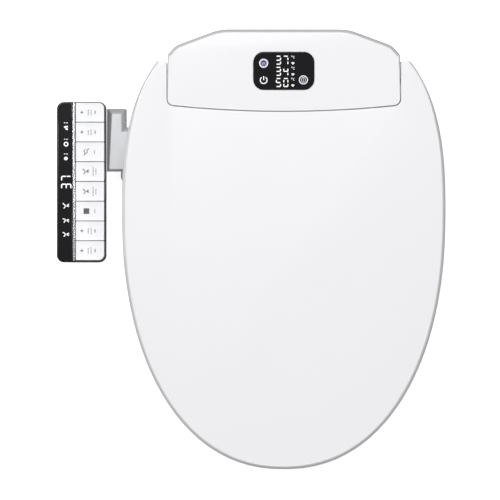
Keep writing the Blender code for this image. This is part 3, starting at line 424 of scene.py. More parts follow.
def unfold(points, moved):
    """Where a corner is tighter than the inset its points cross over. They all go to the place
    where the corner's two sides meet."""
    count = len(points)
    sides = np.roll(points, -1, axis=0) - points
    crossed = np.sum(sides * (np.roll(moved, -1, axis=0) - moved), axis=1) < 0
    if not crossed.any():
        return moved
    start = int(np.argmin(crossed))
    run = []
    for i in [(start + 1 + step) % count for step in range(count)]:
        if crossed[i]:
            run.append(i)
        elif run:
            end = (run[-1] + 1) % count
            here, there = moved[run[0]].copy(), moved[end].copy()
            along, onward = sides[run[0] - 1], sides[end]
            cross = along[0] * onward[1] - along[1] * onward[0]
            apart = there - here
            share = (apart[0] * onward[1] - apart[1] * onward[0]) / cross if cross else 0.5
            for k in run + [end]:
                moved[k] = here + along * share
            run = []
    return moved


def rounded(corners, radii, steps=8):
    """The outline through these (x, y) corners, each turned on its radius."""
    points = []
    for i, corner in enumerate(corners):
        corner = Vector((*corner, 0))
        radius = radii[i]
        if not radius:
            points.append(tuple(corner[:2]))
            continue
        before = (Vector((*corners[i - 1], 0)) - corner).normalized()
        after = (Vector((*corners[(i + 1) % len(corners)], 0)) - corner).normalized()
        half = before.angle(after) / 2
        centre = corner + (before + after).normalized() * (radius / math.sin(half))
        start = (corner + before * (radius / math.tan(half)) - centre).normalized()
        end = (corner + after * (radius / math.tan(half)) - centre).normalized()
        for step in range(steps + 1):
            points.append(tuple((centre + start.slerp(end, step / steps) * radius)[:2]))
    return points


def rectangle(low, high, radius, steps=8):
    corners = [(high[0], low[1]), (high[0], high[1]), (low[0], high[1]), (low[0], low[1])]
    radii = radius if isinstance(radius, (list, tuple)) else [radius] * 4
    return rounded(corners, radii, steps)


def circle(centre, radius, sides=48):
    turn = 2 * math.pi / sides
    return [
        (centre[0] + radius * math.cos(i * turn), centre[1] + radius * math.sin(i * turn))
        for i in range(sides)
    ]


def level(outline, z):
    """The outline at one height, or at a height given by a function of y."""
    if callable(z):
        return [(x, y, z(y)) for x, y in outline]
    return [(x, y, z) for x, y in outline]


def quarter(radius, steps=6):
    """(inset, drop) pairs of a rounded edge, from the side to a flat margin on the top."""
    angles = [math.pi / 2 * step / steps for step in range(steps + 1)]
    pairs = [(radius * (1 - math.cos(a)), radius * (1 - math.sin(a))) for a in angles]
    return pairs + [(1.2 * radius, 0.0)]


def block(low, high, corner, edge=0.5 * MM, steps=6):
    """A box with rounded upright corners and small rounded edges above and below."""
    outline = rectangle(low[:2], high[:2], corner, steps)
    rings = [level(inset(outline, i), low[2] + d) for i, d in reversed(quarter(edge, 3))]
    rings += [level(inset(outline, i), high[2] - d) for i, d in quarter(edge, 3)]
    return skin(rings)


def turned(profile, sides=48, place=(0, 0, 0), axis="Z"):
    """A solid turned from (radius, height) points, along +Z or another axis, at a place."""
    closed = profile[0] == profile[-1]
    points = profile[:-1] if closed else profile
    bm = skin([level(circle((0, 0), max(r, 1e-5), sides), z) for r, z in points], closed)
    if axis == "Z":
        turn = Matrix()
    elif axis == "X":
        turn = Matrix.Rotation(math.pi / 2, 4, "Y")
    else:
        turn = Vector(axis).to_track_quat("Z", "Y").to_matrix().to_4x4()
    bm.transform(Matrix.Translation(place) @ turn)
    return bm


# %% [markdown]
# ## The lid
# The real lid is one moulding: a broad, nearly flat plate with a rounded edge, a skirt that
# hides the seat, and two ears beside the housing that hold its hinge lugs. Seen from above
# its outline is a long superellipse in front of the widest line and a short one behind it.
# A plain subdivided box would lose that curve, so the outline is written as its formula and
# skinned. The plate is crowned by 2 mm, which gives its reflections a slow change.

# %% Outline of the lid
LID_LOW, LID_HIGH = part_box("lid")
COVER_LOW, COVER_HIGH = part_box("top_cover")
HINGE = Vector(JOINTS["seat_hinge"]["pos_m"])
PIN_LOW, PIN_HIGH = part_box("hinge_pin_left")
LID_HALF_WIDTH = LID_HIGH[0]
WIDEST_Y = HINGE.y - 161 * MM
FRONT_LENGTH = WIDEST_Y - LID_LOW[1]
REAR_LENGTH = 230 * MM
EAR_CORNER = 3 * MM
EAR_INNER_CORNER = 1.5 * MM
FRONT_POWER = 2.2
REAR_POWER = 2.7
LID_GAP = 1.0 * MM
COVER_HALF_WIDTH = COVER_HIGH[0]
COVER_FRONT_Y = COVER_LOW[1]
COVER_SIDE_FRONT_Y = COVER_FRONT_Y + 7.2 * MM
COVER_CORNER = 7 * MM
SLOPE = 0.1267
TOP_AT_ORIGIN = COVER_HIGH[2] - SLOPE * (COVER_HIGH[1] - 3 * MM)
SEAT_SLOPE = 0.078
BAND_WIDTH = 2.6 * MM
BAND_FALL = 5.0 * MM
LID_WALL = 2.8 * MM
LUG_GAP = 0.9 * MM
SEAT_LUG = 7 * MM
LID_LUG = 6 * MM
LUG_RADIUS = 10 * MM
PIN_HOLE = (PIN_HIGH[2] - PIN_LOW[2]) / 2 + 0.3 * MM


def top_plane(drop=0.0):
    return lambda y: TOP_AT_ORIGIN + SLOPE * y - drop


def half_width(y, width=LID_HALF_WIDTH, front=FRONT_LENGTH, rear=REAR_LENGTH):
    power, length = (FRONT_POWER, front) if y < WIDEST_Y else (REAR_POWER, rear)
    share = min(abs(y - WIDEST_Y) / length, 1.0)
    return width * (1 - share**power) ** (1 / power)


def half_curve(width, front, rear, count):
    """The +X side of the double superellipse, from the front tip to the rear tip."""
    points = []
    for step in range(count + 1):
        angle = -math.pi / 2 + math.pi * step / count
        power, length = (FRONT_POWER, front) if angle < 0 else (REAR_POWER, rear)
        x = width * abs(math.cos(angle)) ** (2 / power)
        y = length * math.copysign(abs(math.sin(angle)) ** (2 / power), angle)
        points.append((x, WIDEST_Y + y))
    return points


def both_sides(half):
    return list(half) + [(-x, y) for x, y in reversed(half) if x > 1e-9]


def bow(share, clearance=0.0):
    """A point of the housing's bowed front edge at a share of its half width."""
    drop = (COVER_SIDE_FRONT_Y - COVER_FRONT_Y) * (1 - share**2)
    return (share * COVER_HALF_WIDTH, COVER_SIDE_FRONT_Y - drop - clearance)


def lid_outline():
    rear_y = LID_HIGH[1]
    ear_x = half_width(rear_y)
    inner_x = COVER_HALF_WIDTH + LID_GAP
    curve = half_curve(LID_HALF_WIDTH, FRONT_LENGTH, REAR_LENGTH, 150)
    half = [point for point in curve if point[1] < rear_y - 1.2 * EAR_CORNER]
    corners = [half[-1], (ear_x, rear_y), (inner_x, rear_y)]
    corners += [(inner_x, COVER_SIDE_FRONT_Y - LID_GAP), bow(0.86, LID_GAP)]
    radii = [0, EAR_CORNER, EAR_INNER_CORNER, COVER_CORNER + LID_GAP, 0]
    half += rounded(corners, radii, 8)[1:]
    half += [bow(0.8 - 0.05 * step, LID_GAP) for step in range(17)]
    return both_sides(half)


# %% Skin the lid
def crown(bm, height, front_y, rear_y):
    """Cuts the flat top into a grid and lifts it, most in the middle and nothing at the edge."""
    top = max(bm.faces, key=lambda face: face.calc_area() * (1 if face.normal.z > 0 else 0))
    faces = [top]
    spacing = 11 * MM
    for axis, low, high in ((0, -LID_HALF_WIDTH, LID_HALF_WIDTH), (1, LID_LOW[1], LID_HIGH[1])):
        count = int((high - low) / spacing)
        for step in range(1, count):
            point = Vector((0, 0, 0))
            point[axis] = low + (high - low) * step / count
            normal = Vector((0, 0, 0))
            normal[axis] = 1
            geometry = list({v for f in faces for v in f.verts})
            geometry += list({e for f in faces for e in f.edges}) + faces
            cut = bmesh.ops.bisect_plane(bm, geom=geometry, plane_co=point, plane_no=normal)
            faces = [part for part in cut["geom"] if isinstance(part, bmesh.types.BMFace)]
    for vert in {v for f in faces for v in f.verts}:
        share = (vert.co.y - front_y) / (rear_y - front_y)
        if not 0 < share < 1:
            continue
        across = min(abs(vert.co.x) / (half_width(vert.co.y) - 5 * MM), 1.0)
        vert.co.z += height * (1 - across**2) ** 1.5 * 4 * share * (1 - share)


def lug(x_low, x_high, high_z, radius=LUG_RADIUS):
    """A hinge lug on the lid: a half round below the hinge line and straight sides above."""
    profile = [(HINGE.y + radius, high_z), (HINGE.y - radius, high_z)]
    for step in range(17):
        angle = math.pi * (1 + step / 16)
        profile.append((HINGE.y + radius * math.cos(angle), HINGE.z + radius * math.sin(angle)))
    return skin([[(x, y, z) for y, z in profile] for x in (x_low, x_high)])


def pin_bore(x_low, x_high):
    place = (x_low - MM, HINGE.y, HINGE.z)
    return turned([(PIN_HOLE, 0), (PIN_HOLE, x_high - x_low + 2 * MM)], 48, place, "X")


def make_lid():
    outline = lid_outline()
    points = np.array(outline)
    outer = np.array([
        y < WIDEST_Y or abs(x) > half_width(min(y, LID_HIGH[1])) - MM for x, y in outline
    ])
    ear = np.clip((points[:, 1] + 60 * MM) / (50 * MM), 0, 1)
    band = np.where(outer, BAND_WIDTH * (1 - ear) + 1.2 * MM * ear, 0.0)
    fall = np.where(outer, BAND_FALL * (1 - ear) + 2.5 * MM * ear, 0.0)
    radius = np.where(outer, 2.6 * MM * (1 - ear) + 1.2 * MM * ear, 0.8 * MM)
    top = TOP_AT_ORIGIN + SLOPE * points[:, 1]
    seat_top, bumper_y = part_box("lid_bumper_left")[0][2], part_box("lid_bumper_left")[0][1]
    skirt = seat_top + SEAT_SLOPE * (points[:, 1] - bumper_y) - 3 * MM
    low = np.where(outer, skirt, top - LID_WALL - 1.2 * MM)
    soft = 0.6 * MM

    def ring(moved, z):
        return [(x, y, height) for (x, y), height in zip(inset(outline, moved), z)]

    rings = [level(inset(outline, LID_WALL + band), top_plane(LID_WALL + 2 * MM))]
    rings.append(ring(LID_WALL, np.minimum(top - LID_WALL - 2 * MM - fall, low + 30 * MM)))
    rings += [ring(LID_WALL, low), ring(soft, low), ring(0, low + soft)]
    rings.append(ring(0, top - 0.7 * radius - fall - 0.8 * MM))
    rings.append(ring(0.25 * MM, top - 0.7 * radius - fall))
    start = math.radians(35)
    for share in np.linspace(0.0, 1.0, 8):
        side = start + share * (math.pi / 2 - start)
        turn = (math.cos(start) - math.cos(side), math.sin(start) - math.sin(side))
        drop = radius * (1 - math.sin(side))
        rings.append(ring(0.25 * MM + band + radius * turn[0], top - drop))
    bm = skin(rings)
    crown(bm, 2.0 * MM, LID_LOW[1] + 5 * MM, COVER_SIDE_FRONT_Y - 4 * MM)
    first = COVER_HALF_WIDTH + 3 * LUG_GAP + SEAT_LUG
    tools = []
    for side in (-1, 1):
        ends = sorted((side * first, side * (first + LID_LUG)))
        tools.append(("UNION", lug(*ends, top_plane(LID_WALL + 0.4 * MM)(HINGE.y))))
        tools.append(("DIFFERENCE", pin_bore(*ends)))
    print("lid outline points:", len(outline))
    return finish_piece("lid_shell", carve(bm, tools), GLOSS_ABS, "lid", ["lid"])


make_lid()


# %% [markdown]
# ## Rubber feet
# The lid lands on two rubber bumpers and the seat stands on four. Each is a turned piece: a
# short stem with a rounded foot, not a bare cylinder.


# %% Turn the feet
def foot(name, node, body, tip_down=True):
    low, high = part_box(node)
    radius = (high[0] - low[0]) / 2
    tall = high[2] - low[2]
    profile = [(0, 0), (radius * 0.80, 0), (radius * 0.93, 0.25 * MM), (radius, 1.0 * MM)]
    profile += [(radius, tall * 0.55), (radius * 0.86, tall * 0.62), (radius * 0.86, tall)]
    profile += [(0, tall)]
    if not tip_down:
        profile = [(r, tall - z) for r, z in reversed(profile)]
    place = ((low[0] + high[0]) / 2, (low[1] + high[1]) / 2, low[2])
    finish_piece(name, turned(profile, 48, place), GREY_RUBBER, body, [node])


for hand in ("left", "right"):
    for end in ("front", "rear"):
        foot(f"seat_foot_{end}_{hand}", f"seat_bumper_{end}_{hand}", "seat")
    foot(f"lid_foot_{hand}", f"lid_bumper_{hand}", "lid")


# %% [markdown]
# ## The housing's top cover
# The cover is a second shell that lies flush with the lid, with a gap of about a millimetre
# round it. Its rear edge slopes: a steep band some 5 mm wide that curves forward to the
# shoulders. The window opening is cut with a flared tool, which leaves a soft bright lip.


# %% Skin the top cover
WINDOW_LOW, WINDOW_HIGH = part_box("display_window")
WINDOW_CORNER = 12 * MM
FLAT_HALF = 60 * MM
# Bends of the rear edge: distance in from the side, distance forward, radius.
BENDS = (
    (0.0, 28.8 * MM, 2 * MM),
    (9.5 * MM, 18.5 * MM, 20 * MM),
    (59.4 * MM, 0.0, 60 * MM),
)
COVER_WALL = 2.5 * MM


def cover_outline():
    half = [bow(0.05 * step) for step in range(17)]
    corners = [bow(0.86), (COVER_HALF_WIDTH, COVER_SIDE_FRONT_Y)]
    radii = [0, COVER_CORNER]
    for inwards, forwards, radius in BENDS:
        corners.append((COVER_HALF_WIDTH - inwards, COVER_HIGH[1] - forwards))
        radii.append(radius)
    corners.append((FLAT_HALF, COVER_HIGH[1]))
    half += rounded(corners, radii + [0], 10)
    half += [(FLAT_HALF * (1 - step / 6), COVER_HIGH[1]) for step in range(1, 7)]
    return both_sides(half)


def make_cover():
    outline = cover_outline()
    points = np.array(outline)
    shoulder_y = COVER_HIGH[1] - BENDS[0][1]
    rear = np.clip((points[:, 1] - shoulder_y + 1.5 * MM) / (2 * MM), 0, 1)
    band = 3.4 * MM * rear
    fall = 9.0 * MM * rear
    radius = 0.9 * MM
    split = COVER_LOW[2]
    top = TOP_AT_ORIGIN + SLOPE * points[:, 1]

    def ring(moved, z):
        return [(x, y, height) for (x, y), height in zip(inset(outline, moved), z)]

    rings = [
        ring(COVER_WALL + band, top - COVER_WALL),
        ring(COVER_WALL, top - COVER_WALL - fall),
        level(inset(outline, COVER_WALL), split),
        level(inset(outline, 0.4 * MM), split),
        level(outline, split + 0.4 * MM),
        ring(0, top - radius - fall - 0.5 * MM),
        ring(0.2 * MM * rear, top - 0.7 * radius - fall),
    ]
    start = math.radians(30)
    for share in np.linspace(0, 1, 7):
        side = start + share * (math.pi / 2 - start)
        moved = radius * (math.cos(start) - math.cos(side))
        drop = radius * (1 - math.sin(side))
        rings.append(ring(band + 0.2 * MM * rear + moved, top - drop))
    flare = [(0.1 * MM, 6 * MM), (0.1 * MM, 1.2 * MM)]
    flare += [(0.1 * MM + 0.4 * MM * s * s, 1.2 * MM * (1 - s)) for s in (0.3, 0.6, 0.85, 1.0)]
    flare += [(0.5 * MM, -8 * MM)]
    pane = rectangle(WINDOW_LOW[:2], WINDOW_HIGH[:2], WINDOW_CORNER, 12)
    hole = skin([level(inset(pane, -m), top_plane(d)) for m, d in flare])
    tools = [("DIFFERENCE", hole)]
    for side in (-1, 1):
        ends = sorted((side * (COVER_HALF_WIDTH - COVER_WALL), side * COVER_HALF_WIDTH))
        tools.append(("DIFFERENCE", pin_bore(*ends)))
    bm = carve(skin(rings), tools)
    return finish_piece("cover_shell", bm, GLOSS_ABS, "housing", ["top_cover"])


make_cover()


# %% [markdown]
# ## The display
# The display is one pane of black acrylic with lamps behind it. Its figures are seven-segment
# numerals. Every segment is the same slim hexagonal bar, so the figures are a job for
# Geometry Nodes: each segment is a point that carries its turn, and one bar is instanced on
# all of them. The rings and the power sign are short strokes made by one function.


# %% Black panes and a tree that sets one bar on every point
def pane(name, low, high, corner, plane_high, thickness, body, node):
    outline = inset(rectangle(low, high, corner, 12), 0.2 * MM)
    rings = [level(outline, plane_high(thickness)), level(outline, plane_high(0.35 * MM))]
    rings += [level(inset(outline, i), plane_high(d)) for i, d in quarter(0.35 * MM, 4)]
    finish_piece(name, skin(rings), BLACK_ACRYLIC, body, [node])


def segment_tree():
    """Bars instanced on points: each point's turn is the direction of its segment."""
    tree, given = start_tree("segments", ("Length", "Width", "Height"), "Bars")
    bar = add_node(
        tree,
        "GeometryNodeMeshCylinder",
        [("Vertices", 6), ("Radius", 0.5), ("Depth", given["Height"])],
    )
    # A hexagon is 1.155 times as wide across its corners as across its flats.
    wide = calculate(tree, "MULTIPLY", given["Width"], 1.155)
    size = add_node(tree, "ShaderNodeCombineXYZ", [("X", wide), ("Y", wide), ("Z", 1.0)])
    small = add_node(
        tree,
        "GeometryNodeTransform",
        [("Geometry", bar.outputs["Mesh"]), ("Scale", size.outputs[0])],
    )
    # The two ends move apart until the bar has its length, so its tips keep 60 degrees.
    place = add_node(tree, "GeometryNodeInputPosition")
    parts = add_node(tree, "ShaderNodeSeparateXYZ", [(0, place.outputs[0])])
    side = calculate(tree, "SIGN", parts.outputs["X"])
    spare = calculate(tree, "SUBTRACT", given["Length"], wide)
    half = calculate(tree, "MULTIPLY", calculate(tree, "MULTIPLY", side, spare), 0.5)
    apart = add_node(tree, "ShaderNodeCombineXYZ", [("X", half)])
    shaped = add_node(
        tree,
        "GeometryNodeSetPosition",
        [("Geometry", small.outputs[0]), ("Offset", apart.outputs[0])],
    )
    return set_on_points(tree, given, shaped.outputs[0], "Bars")


def grow(name, tree, points, turns, values, sharp=32):
    """Runs a tree on a cloud of points with a turn each, and keeps the result as a plain mesh."""
    cloud = bpy.data.meshes.new(name + "_points")
    cloud.from_pydata(points, [], [])
    attribute = cloud.attributes.new("turn", "FLOAT_VECTOR", "POINT")
    attribute.data.foreach_set("vector", [v for turn in turns for v in turn])
    maker = bpy.data.objects.new(name, cloud)
    bpy.context.scene.collection.objects.link(maker)
    modifier = maker.modifiers.new("grow", "NODES")
    modifier.node_group = tree
    inputs = [item for item in tree.interface.items_tree if item.in_out == "INPUT"]
    for item in inputs:
        if item.name in values:
            modifier[item.identifier] = values[item.name]
    bpy.context.view_layer.update()
    graph = bpy.context.evaluated_depsgraph_get()
    mesh = bpy.data.meshes.new_from_object(maker.evaluated_get(graph))
    mesh.name = name
    maker.modifiers.remove(modifier)
    maker.data = mesh
    bpy.data.meshes.remove(cloud)
    mesh.shade_smooth()
    mesh.set_sharp_from_angle(angle=math.radians(sharp))
    return maker


SEGMENTS = segment_tree()
# Each segment of a figure: its middle in half widths and half heights, and whether it stands.
PLACES = {
    "a": (0, 1, 0),
    "b": (1, 0.5, 1),
    "c": (1, -0.5, 1),
    "d": (0, -1, 0),
    "e": (-1, -0.5, 1),
    "f": (-1, 0.5, 1),
    "g": (0, 0, 0),
}
FIGURES = {"0": "abcdef", "3": "abcdg", "4": "bcfg", "5": "acdfg", "7": "abc"}


def figures(name, text, place, width, height, pitch, stroke, plane, body, turned_by=0.0):
    """Seven-segment numerals as raised bars on a plane z(x, y), reading along turned_by."""
    points, turns = [], []
    cosine, sine = math.cos(turned_by), math.sin(turned_by)
    half_w, half_h = (width - stroke) / 2, (height - stroke) / 2
    for index, figure in enumerate(text):
        for key in FIGURES[figure]:
            across, up, stands = PLACES[key]
            x = index * pitch + across * half_w
            y = up * half_h
            world = (place[0] + x * cosine - y * sine, place[1] + x * sine + y * cosine)
            points.append((*world, plane(world[1])))
            turns.append((0, 0, turned_by + stands * math.pi / 2))
    long = min(2 * half_w, half_h)
    values = {"Length": long, "Width": stroke, "Height": 0.16 * MM, "Material": WHITE_LIGHT}
    piece = grow(name, SEGMENTS, points, turns, values)
    print(name, "segments:", len(points))
    return settle(piece, body)


# %% Strokes for signs
def stroke(bm, points, width, plane, height=0.08 * MM, closed=False):
    """A flat raised ribbon along (x, y) points, as one closed body with square ends."""
    flat = np.array(points, float)
    if closed:
        ahead = np.roll(flat, -1, axis=0) - flat
        behind = flat - np.roll(flat, 1, axis=0)
    else:
        ahead = np.diff(flat, axis=0, append=2 * flat[-1:] - flat[-2:-1])
        behind = np.diff(flat, axis=0, prepend=2 * flat[:1] - flat[1:2])
    along = ahead / np.linalg.norm(ahead, axis=1)[:, None]
    along += behind / np.linalg.norm(behind, axis=1)[:, None]
    along /= np.linalg.norm(along, axis=1)[:, None]
    across = np.stack([-along[:, 1], along[:, 0]], axis=1) * width / 2
    rings = []
    for point, offset in zip(flat, across):
        left, right = point + offset, point - offset
        low = [(x, y, plane(y) - height) for x, y in (left, right)]
        high = [(x, y, plane(y) + height) for x, y in (right, left)]
        rings.append(low + high)
    return join(bm, skin(rings, closed=closed))


def arc(centre, radius, start=0.0, end=360.0, steps=24):
    angles = np.radians(np.linspace(start, end, steps + 1))
    points = [(centre[0] + radius * math.cos(a), centre[1] + radius * math.sin(a)) for a in angles]
    return points[:-1] if end - start >= 360 else points


def wave(centre, length, height, turns=1.0, turned_by=0.0, steps=14):
    """A short sine wave, for steam and warm air."""
    points = []
    for step in range(steps + 1):
        share = step / steps - 0.5
        x, y = share * length, height * math.sin(2 * math.pi * turns * share)
        cosine, sine = math.cos(turned_by), math.sin(turned_by)
        points.append((centre[0] + x * cosine - y * sine, centre[1] + x * sine + y * cosine))
    return points


def marks(name, strokes, plane, material, body):
    """Several strokes as one piece: each is (points, width) or (points, width, closed)."""
    bm = bmesh.new()
    for item in strokes:
        bm = stroke(bm, item[0], item[1], plane, closed=len(item) > 2)
    return finish_piece(name, bm, material, body, sharp=40)


# %% Fit the display
def make_display():
    thickness = 3 * MM
    pane("display_pane", WINDOW_LOW, WINDOW_HIGH, WINDOW_CORNER, top_plane, thickness, "housing",
         "display_window")
    face = top_plane()
    middle = Vector(((WINDOW_LOW[0] + WINDOW_HIGH[0]) / 2, (WINDOW_LOW[1] + WINDOW_HIGH[1]) / 2))
    for row, text in enumerate(("37", "34", "50")):
        place = (middle.x - 6.2 * MM, middle.y + (12.4 - 12.8 * row) * MM)
        name = f"display_figures_{row + 1}"
        size = (5.8 * MM, 10.3 * MM, 8.5 * MM, 1.15 * MM)
        figures(name, text, place, *size, face, "housing")
    signs, lilac = [], []
    power = (middle.x - 23.2 * MM, middle.y - 10.5 * MM)
    signs.append((arc(power, 3.9 * MM, 125, 415), 1.1 * MM))
    signs.append(([power, (power[0], power[1] + 4.6 * MM)], 1.1 * MM))
    for row in range(3):
        x, y = middle.x + 10.4 * MM, middle.y + (12.4 - 12.7 * row) * MM
        signs.append((arc((x + 1.4 * MM, y + 3.4 * MM), 1.1 * MM, 60, 300, 10), 0.45 * MM))
        signs.append((arc((x - 1.2 * MM, y + 4.6 * MM), 0.55 * MM, steps=10), 0.4 * MM, True))
        signs.append(([(x - 1.6 * MM, y - 3.2 * MM), (x + 1.6 * MM, y - 3.2 * MM)], 1.5 * MM))
        signs.append(([(x - 0.9 * MM, y - 4.6 * MM), (x + 0.9 * MM, y - 4.6 * MM)], 0.6 * MM))
    warm = (middle.x - 23.2 * MM, middle.y + 8.9 * MM)
    signs.append((arc(warm, 4.7 * MM), 0.9 * MM, True))
    lilac.append((arc(warm, 3.5 * MM), 0.7 * MM, True))
    for side in (-1, 0, 1):
        place = (warm[0] + 1.5 * MM * side, warm[1] - 0.2 * MM)
        lilac.append((wave(place, 3.4 * MM, 0.35 * MM, turned_by=math.pi / 2), 0.6 * MM))
    leaf = (middle.x + 22.5 * MM, middle.y - 10.2 * MM)
    signs.append((arc(leaf, 4.7 * MM), 0.9 * MM, True))
    for side in (-1, 1):
        bulge = [
            (leaf[0] + side * 2.3 * MM * math.cos(a), leaf[1] + 3.4 * MM * math.sin(a))
            for a in np.linspace(-1.35, 1.35, 12)
        ]
        lilac.append((bulge, 0.8 * MM))
    lilac.append(([(leaf[0], leaf[1] - 3.2 * MM), (leaf[0], leaf[1] + 3.2 * MM)], 0.7 * MM))
    marks("display_signs", signs, face, WHITE_LIGHT, "housing")
    marks("display_lilac_signs", lilac, face, LILAC_LIGHT, "housing")


make_display()


# %% [markdown]
# ## The side panel
# A dark tub holds eight white keys in a column, a plated strip beside them, and a black
# acrylic window whose outer corners swell a little. The keys are separate mouldings with
# dished tops, so each rides on its own body with its printed signs.

# %% Tub, window and strip
CASE_LOW, CASE_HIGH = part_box("panel_case")
STRIP_LOW, STRIP_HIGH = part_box("panel_window")
TRIM_LOW, TRIM_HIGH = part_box("panel_trim")
CASE_CORNER = 8.4 * MM
CASE_WALL = 2 * MM


def make_case():
    outline = rectangle(CASE_LOW[:2], CASE_HIGH[:2], CASE_CORNER, 14)
    low, high = CASE_LOW[2], CASE_HIGH[2]
    floor = low + 6 * MM
    rings = [level(inset(outline, 3.2 * MM), low)]
    for step in range(7):
        angle = math.pi / 2 * step / 6
        moved, rise = 3 * MM * (1 - math.sin(angle)), 5 * MM * (1 - math.cos(angle))
        rings.append(level(inset(outline, moved), low + rise + 0.05 * MM))
    # A shallow groove runs round the tub where its base snaps on.
    groove = low + 9 * MM
    rings += [level(outline, groove), level(inset(outline, 0.5 * MM), groove + 0.2 * MM)]
    rings += [level(inset(outline, 0.5 * MM), groove + 0.8 * MM), level(outline, groove + 1 * MM)]
    rings += [level(inset(outline, i), high - d) for i, d in quarter(0.6 * MM, 4)]
    rings += [level(inset(outline, CASE_WALL), z) for z in (high, floor)]
    finish_piece("panel_tub", skin(rings), DARK_ABS, "housing", ["panel_case"])


def make_window():
    """The black window: a straight inner edge, and an outer edge pulled in between its ends."""
    left, right = STRIP_LOW[0], STRIP_HIGH[0]
    front, rear = STRIP_LOW[1], STRIP_HIGH[1]
    corners = [(right, front), (right, rear), (left, rear), (left, front)]
    outline = rounded(corners, [0.4 * MM, 0.4 * MM, CASE_CORNER + 1 * MM, CASE_CORNER + 1 * MM], 14)
    side = [(left, rear - share * (rear - front)) for share in np.linspace(0.06, 0.94, 45)]
    start = next(i for i, p in enumerate(outline) if abs(p[0] - left) < 1e-9)
    outline = outline[: start + 1] + side[1:-1] + outline[start + 1 :]
    pulled = []
    for x, y in outline:
        share = (y - front) / (rear - front)
        waist = min(max((min(share, 1 - share) - 0.04) / 0.10, 0), 1)
        waist = waist * waist * (3 - 2 * waist)
        weight = min(max((right - x) / (right - left), 0), 1)
        pulled.append((x + 1.1 * MM * waist * weight**3, y))
    low, high = STRIP_LOW[2], STRIP_HIGH[2]
    rings = [level(pulled, low), level(pulled, high - 1.2 * MM)]
    rings += [level(inset(pulled, i), high - d) for i, d in quarter(1.1 * MM, 5)]
    finish_piece("strip_window", skin(rings), BLACK_ACRYLIC, "housing", ["panel_window"])


def make_trim():
    low, high = Vector(TRIM_LOW), Vector(TRIM_HIGH)
    middle, half = (low.x + high.x) / 2, (high.x - low.x) / 2
    profile = [(low.x, low.z)]
    for step in range(13):
        angle = math.pi * (1 - step / 12)
        profile.append((middle + half * math.cos(angle), high.z - 0.8 * MM * (1 - math.sin(angle))))
    profile.append((high.x, low.z))
    rings = [
        [(middle + (x - middle) * s, y, z) for x, z in profile]
        for y, s in ((low.y, 0.9), (low.y + 0.3 * MM, 1), (high.y - 0.3 * MM, 1), (high.y, 0.9))
    ]
    finish_piece("plated_strip", skin(rings), PLATED_TRIM, "housing", ["panel_trim"])


make_case()
make_window()
make_trim()

# %% Signs on the window
STRIP_TOP = STRIP_HIGH[2]


def flat(z):
    return lambda y: z


def steam(x, y):
    """Two short bars beside a sign, as steam."""
    return [([(x - 2.2 * MM, y), (x - 0.6 * MM, y)], 0.8 * MM),
            ([(x + 0.5 * MM, y), (x + 2.2 * MM, y)], 0.8 * MM)]


def jet(x, y, lean):
    """A seated body with a spray under it, drawn with the sign's top towards -X."""
    body = [(-3.6, 2.4 + lean), (-1.4, 1.2), (-0.6, -0.4), (-2.4, -2.8)]
    strokes = [([(x + a * MM, y + b * MM) for a, b in body], 1.1 * MM)]
    for spread in (-1.5, 0.0, 1.5):
        near, far = (x + 0.8 * MM, y + 0.3 * spread * MM), (x + 3.6 * MM, y + (spread + lean) * MM)
        strokes.append(([near, far], 0.8 * MM))
    return strokes


def make_window_signs():
    x = STRIP_LOW[0] + 10.6 * MM
    rear = STRIP_HIGH[1]
    signs = []
    for drop in (29 * MM, 48 * MM, 65 * MM):
        signs += steam(x, rear - drop + 4.6 * MM)
    y = rear - 30 * MM
    signs.append(([(x - 2.2 * MM, y + 0.6 * MM), (x + 2.3 * MM, y + 1.4 * MM)], 1.8 * MM))
    signs.append(([(x - 0.4 * MM, y - 0.8 * MM), (x + 2.1 * MM, y - 2.2 * MM)], 1.9 * MM))
    signs.append((arc((x + 0.2 * MM, rear - 49.0 * MM), 2.1 * MM), 1.3 * MM, True))
    drop_y = rear - 65.6 * MM
    drop = [(x + 1.1 * MM * math.cos(a), drop_y + 1.0 * MM * math.sin(a))
            for a in np.linspace(0, 2 * math.pi, 16, endpoint=False)]
    signs.append((drop, 2.1 * MM, True))
    for index, lean in enumerate((0.8, -0.8, 0.0)):
        signs += jet(x, rear - (120.5 + 16.4 * index) * MM, lean)
    marks("window_signs", signs, flat(STRIP_TOP), WHITE_LIGHT, "housing")
    place = (STRIP_LOW[0] + 11.0 * MM, rear - 97.7 * MM)
    figures("window_figures", "37", place, 6.2 * MM, 12.0 * MM, 9.0 * MM, 1.4 * MM,
            flat(STRIP_TOP), "housing", math.pi / 2)


make_window_signs()

# %% Keys and their printed signs
KEYS = (
    "pressure_key",
    "position_key",
    "dry_key",
    "front_wash_key",
    "rear_wash_key",
    "stop_key",
    "water_heat_key",
    "seat_heat_key",
)
KEY_DISH = 0.25 * MM


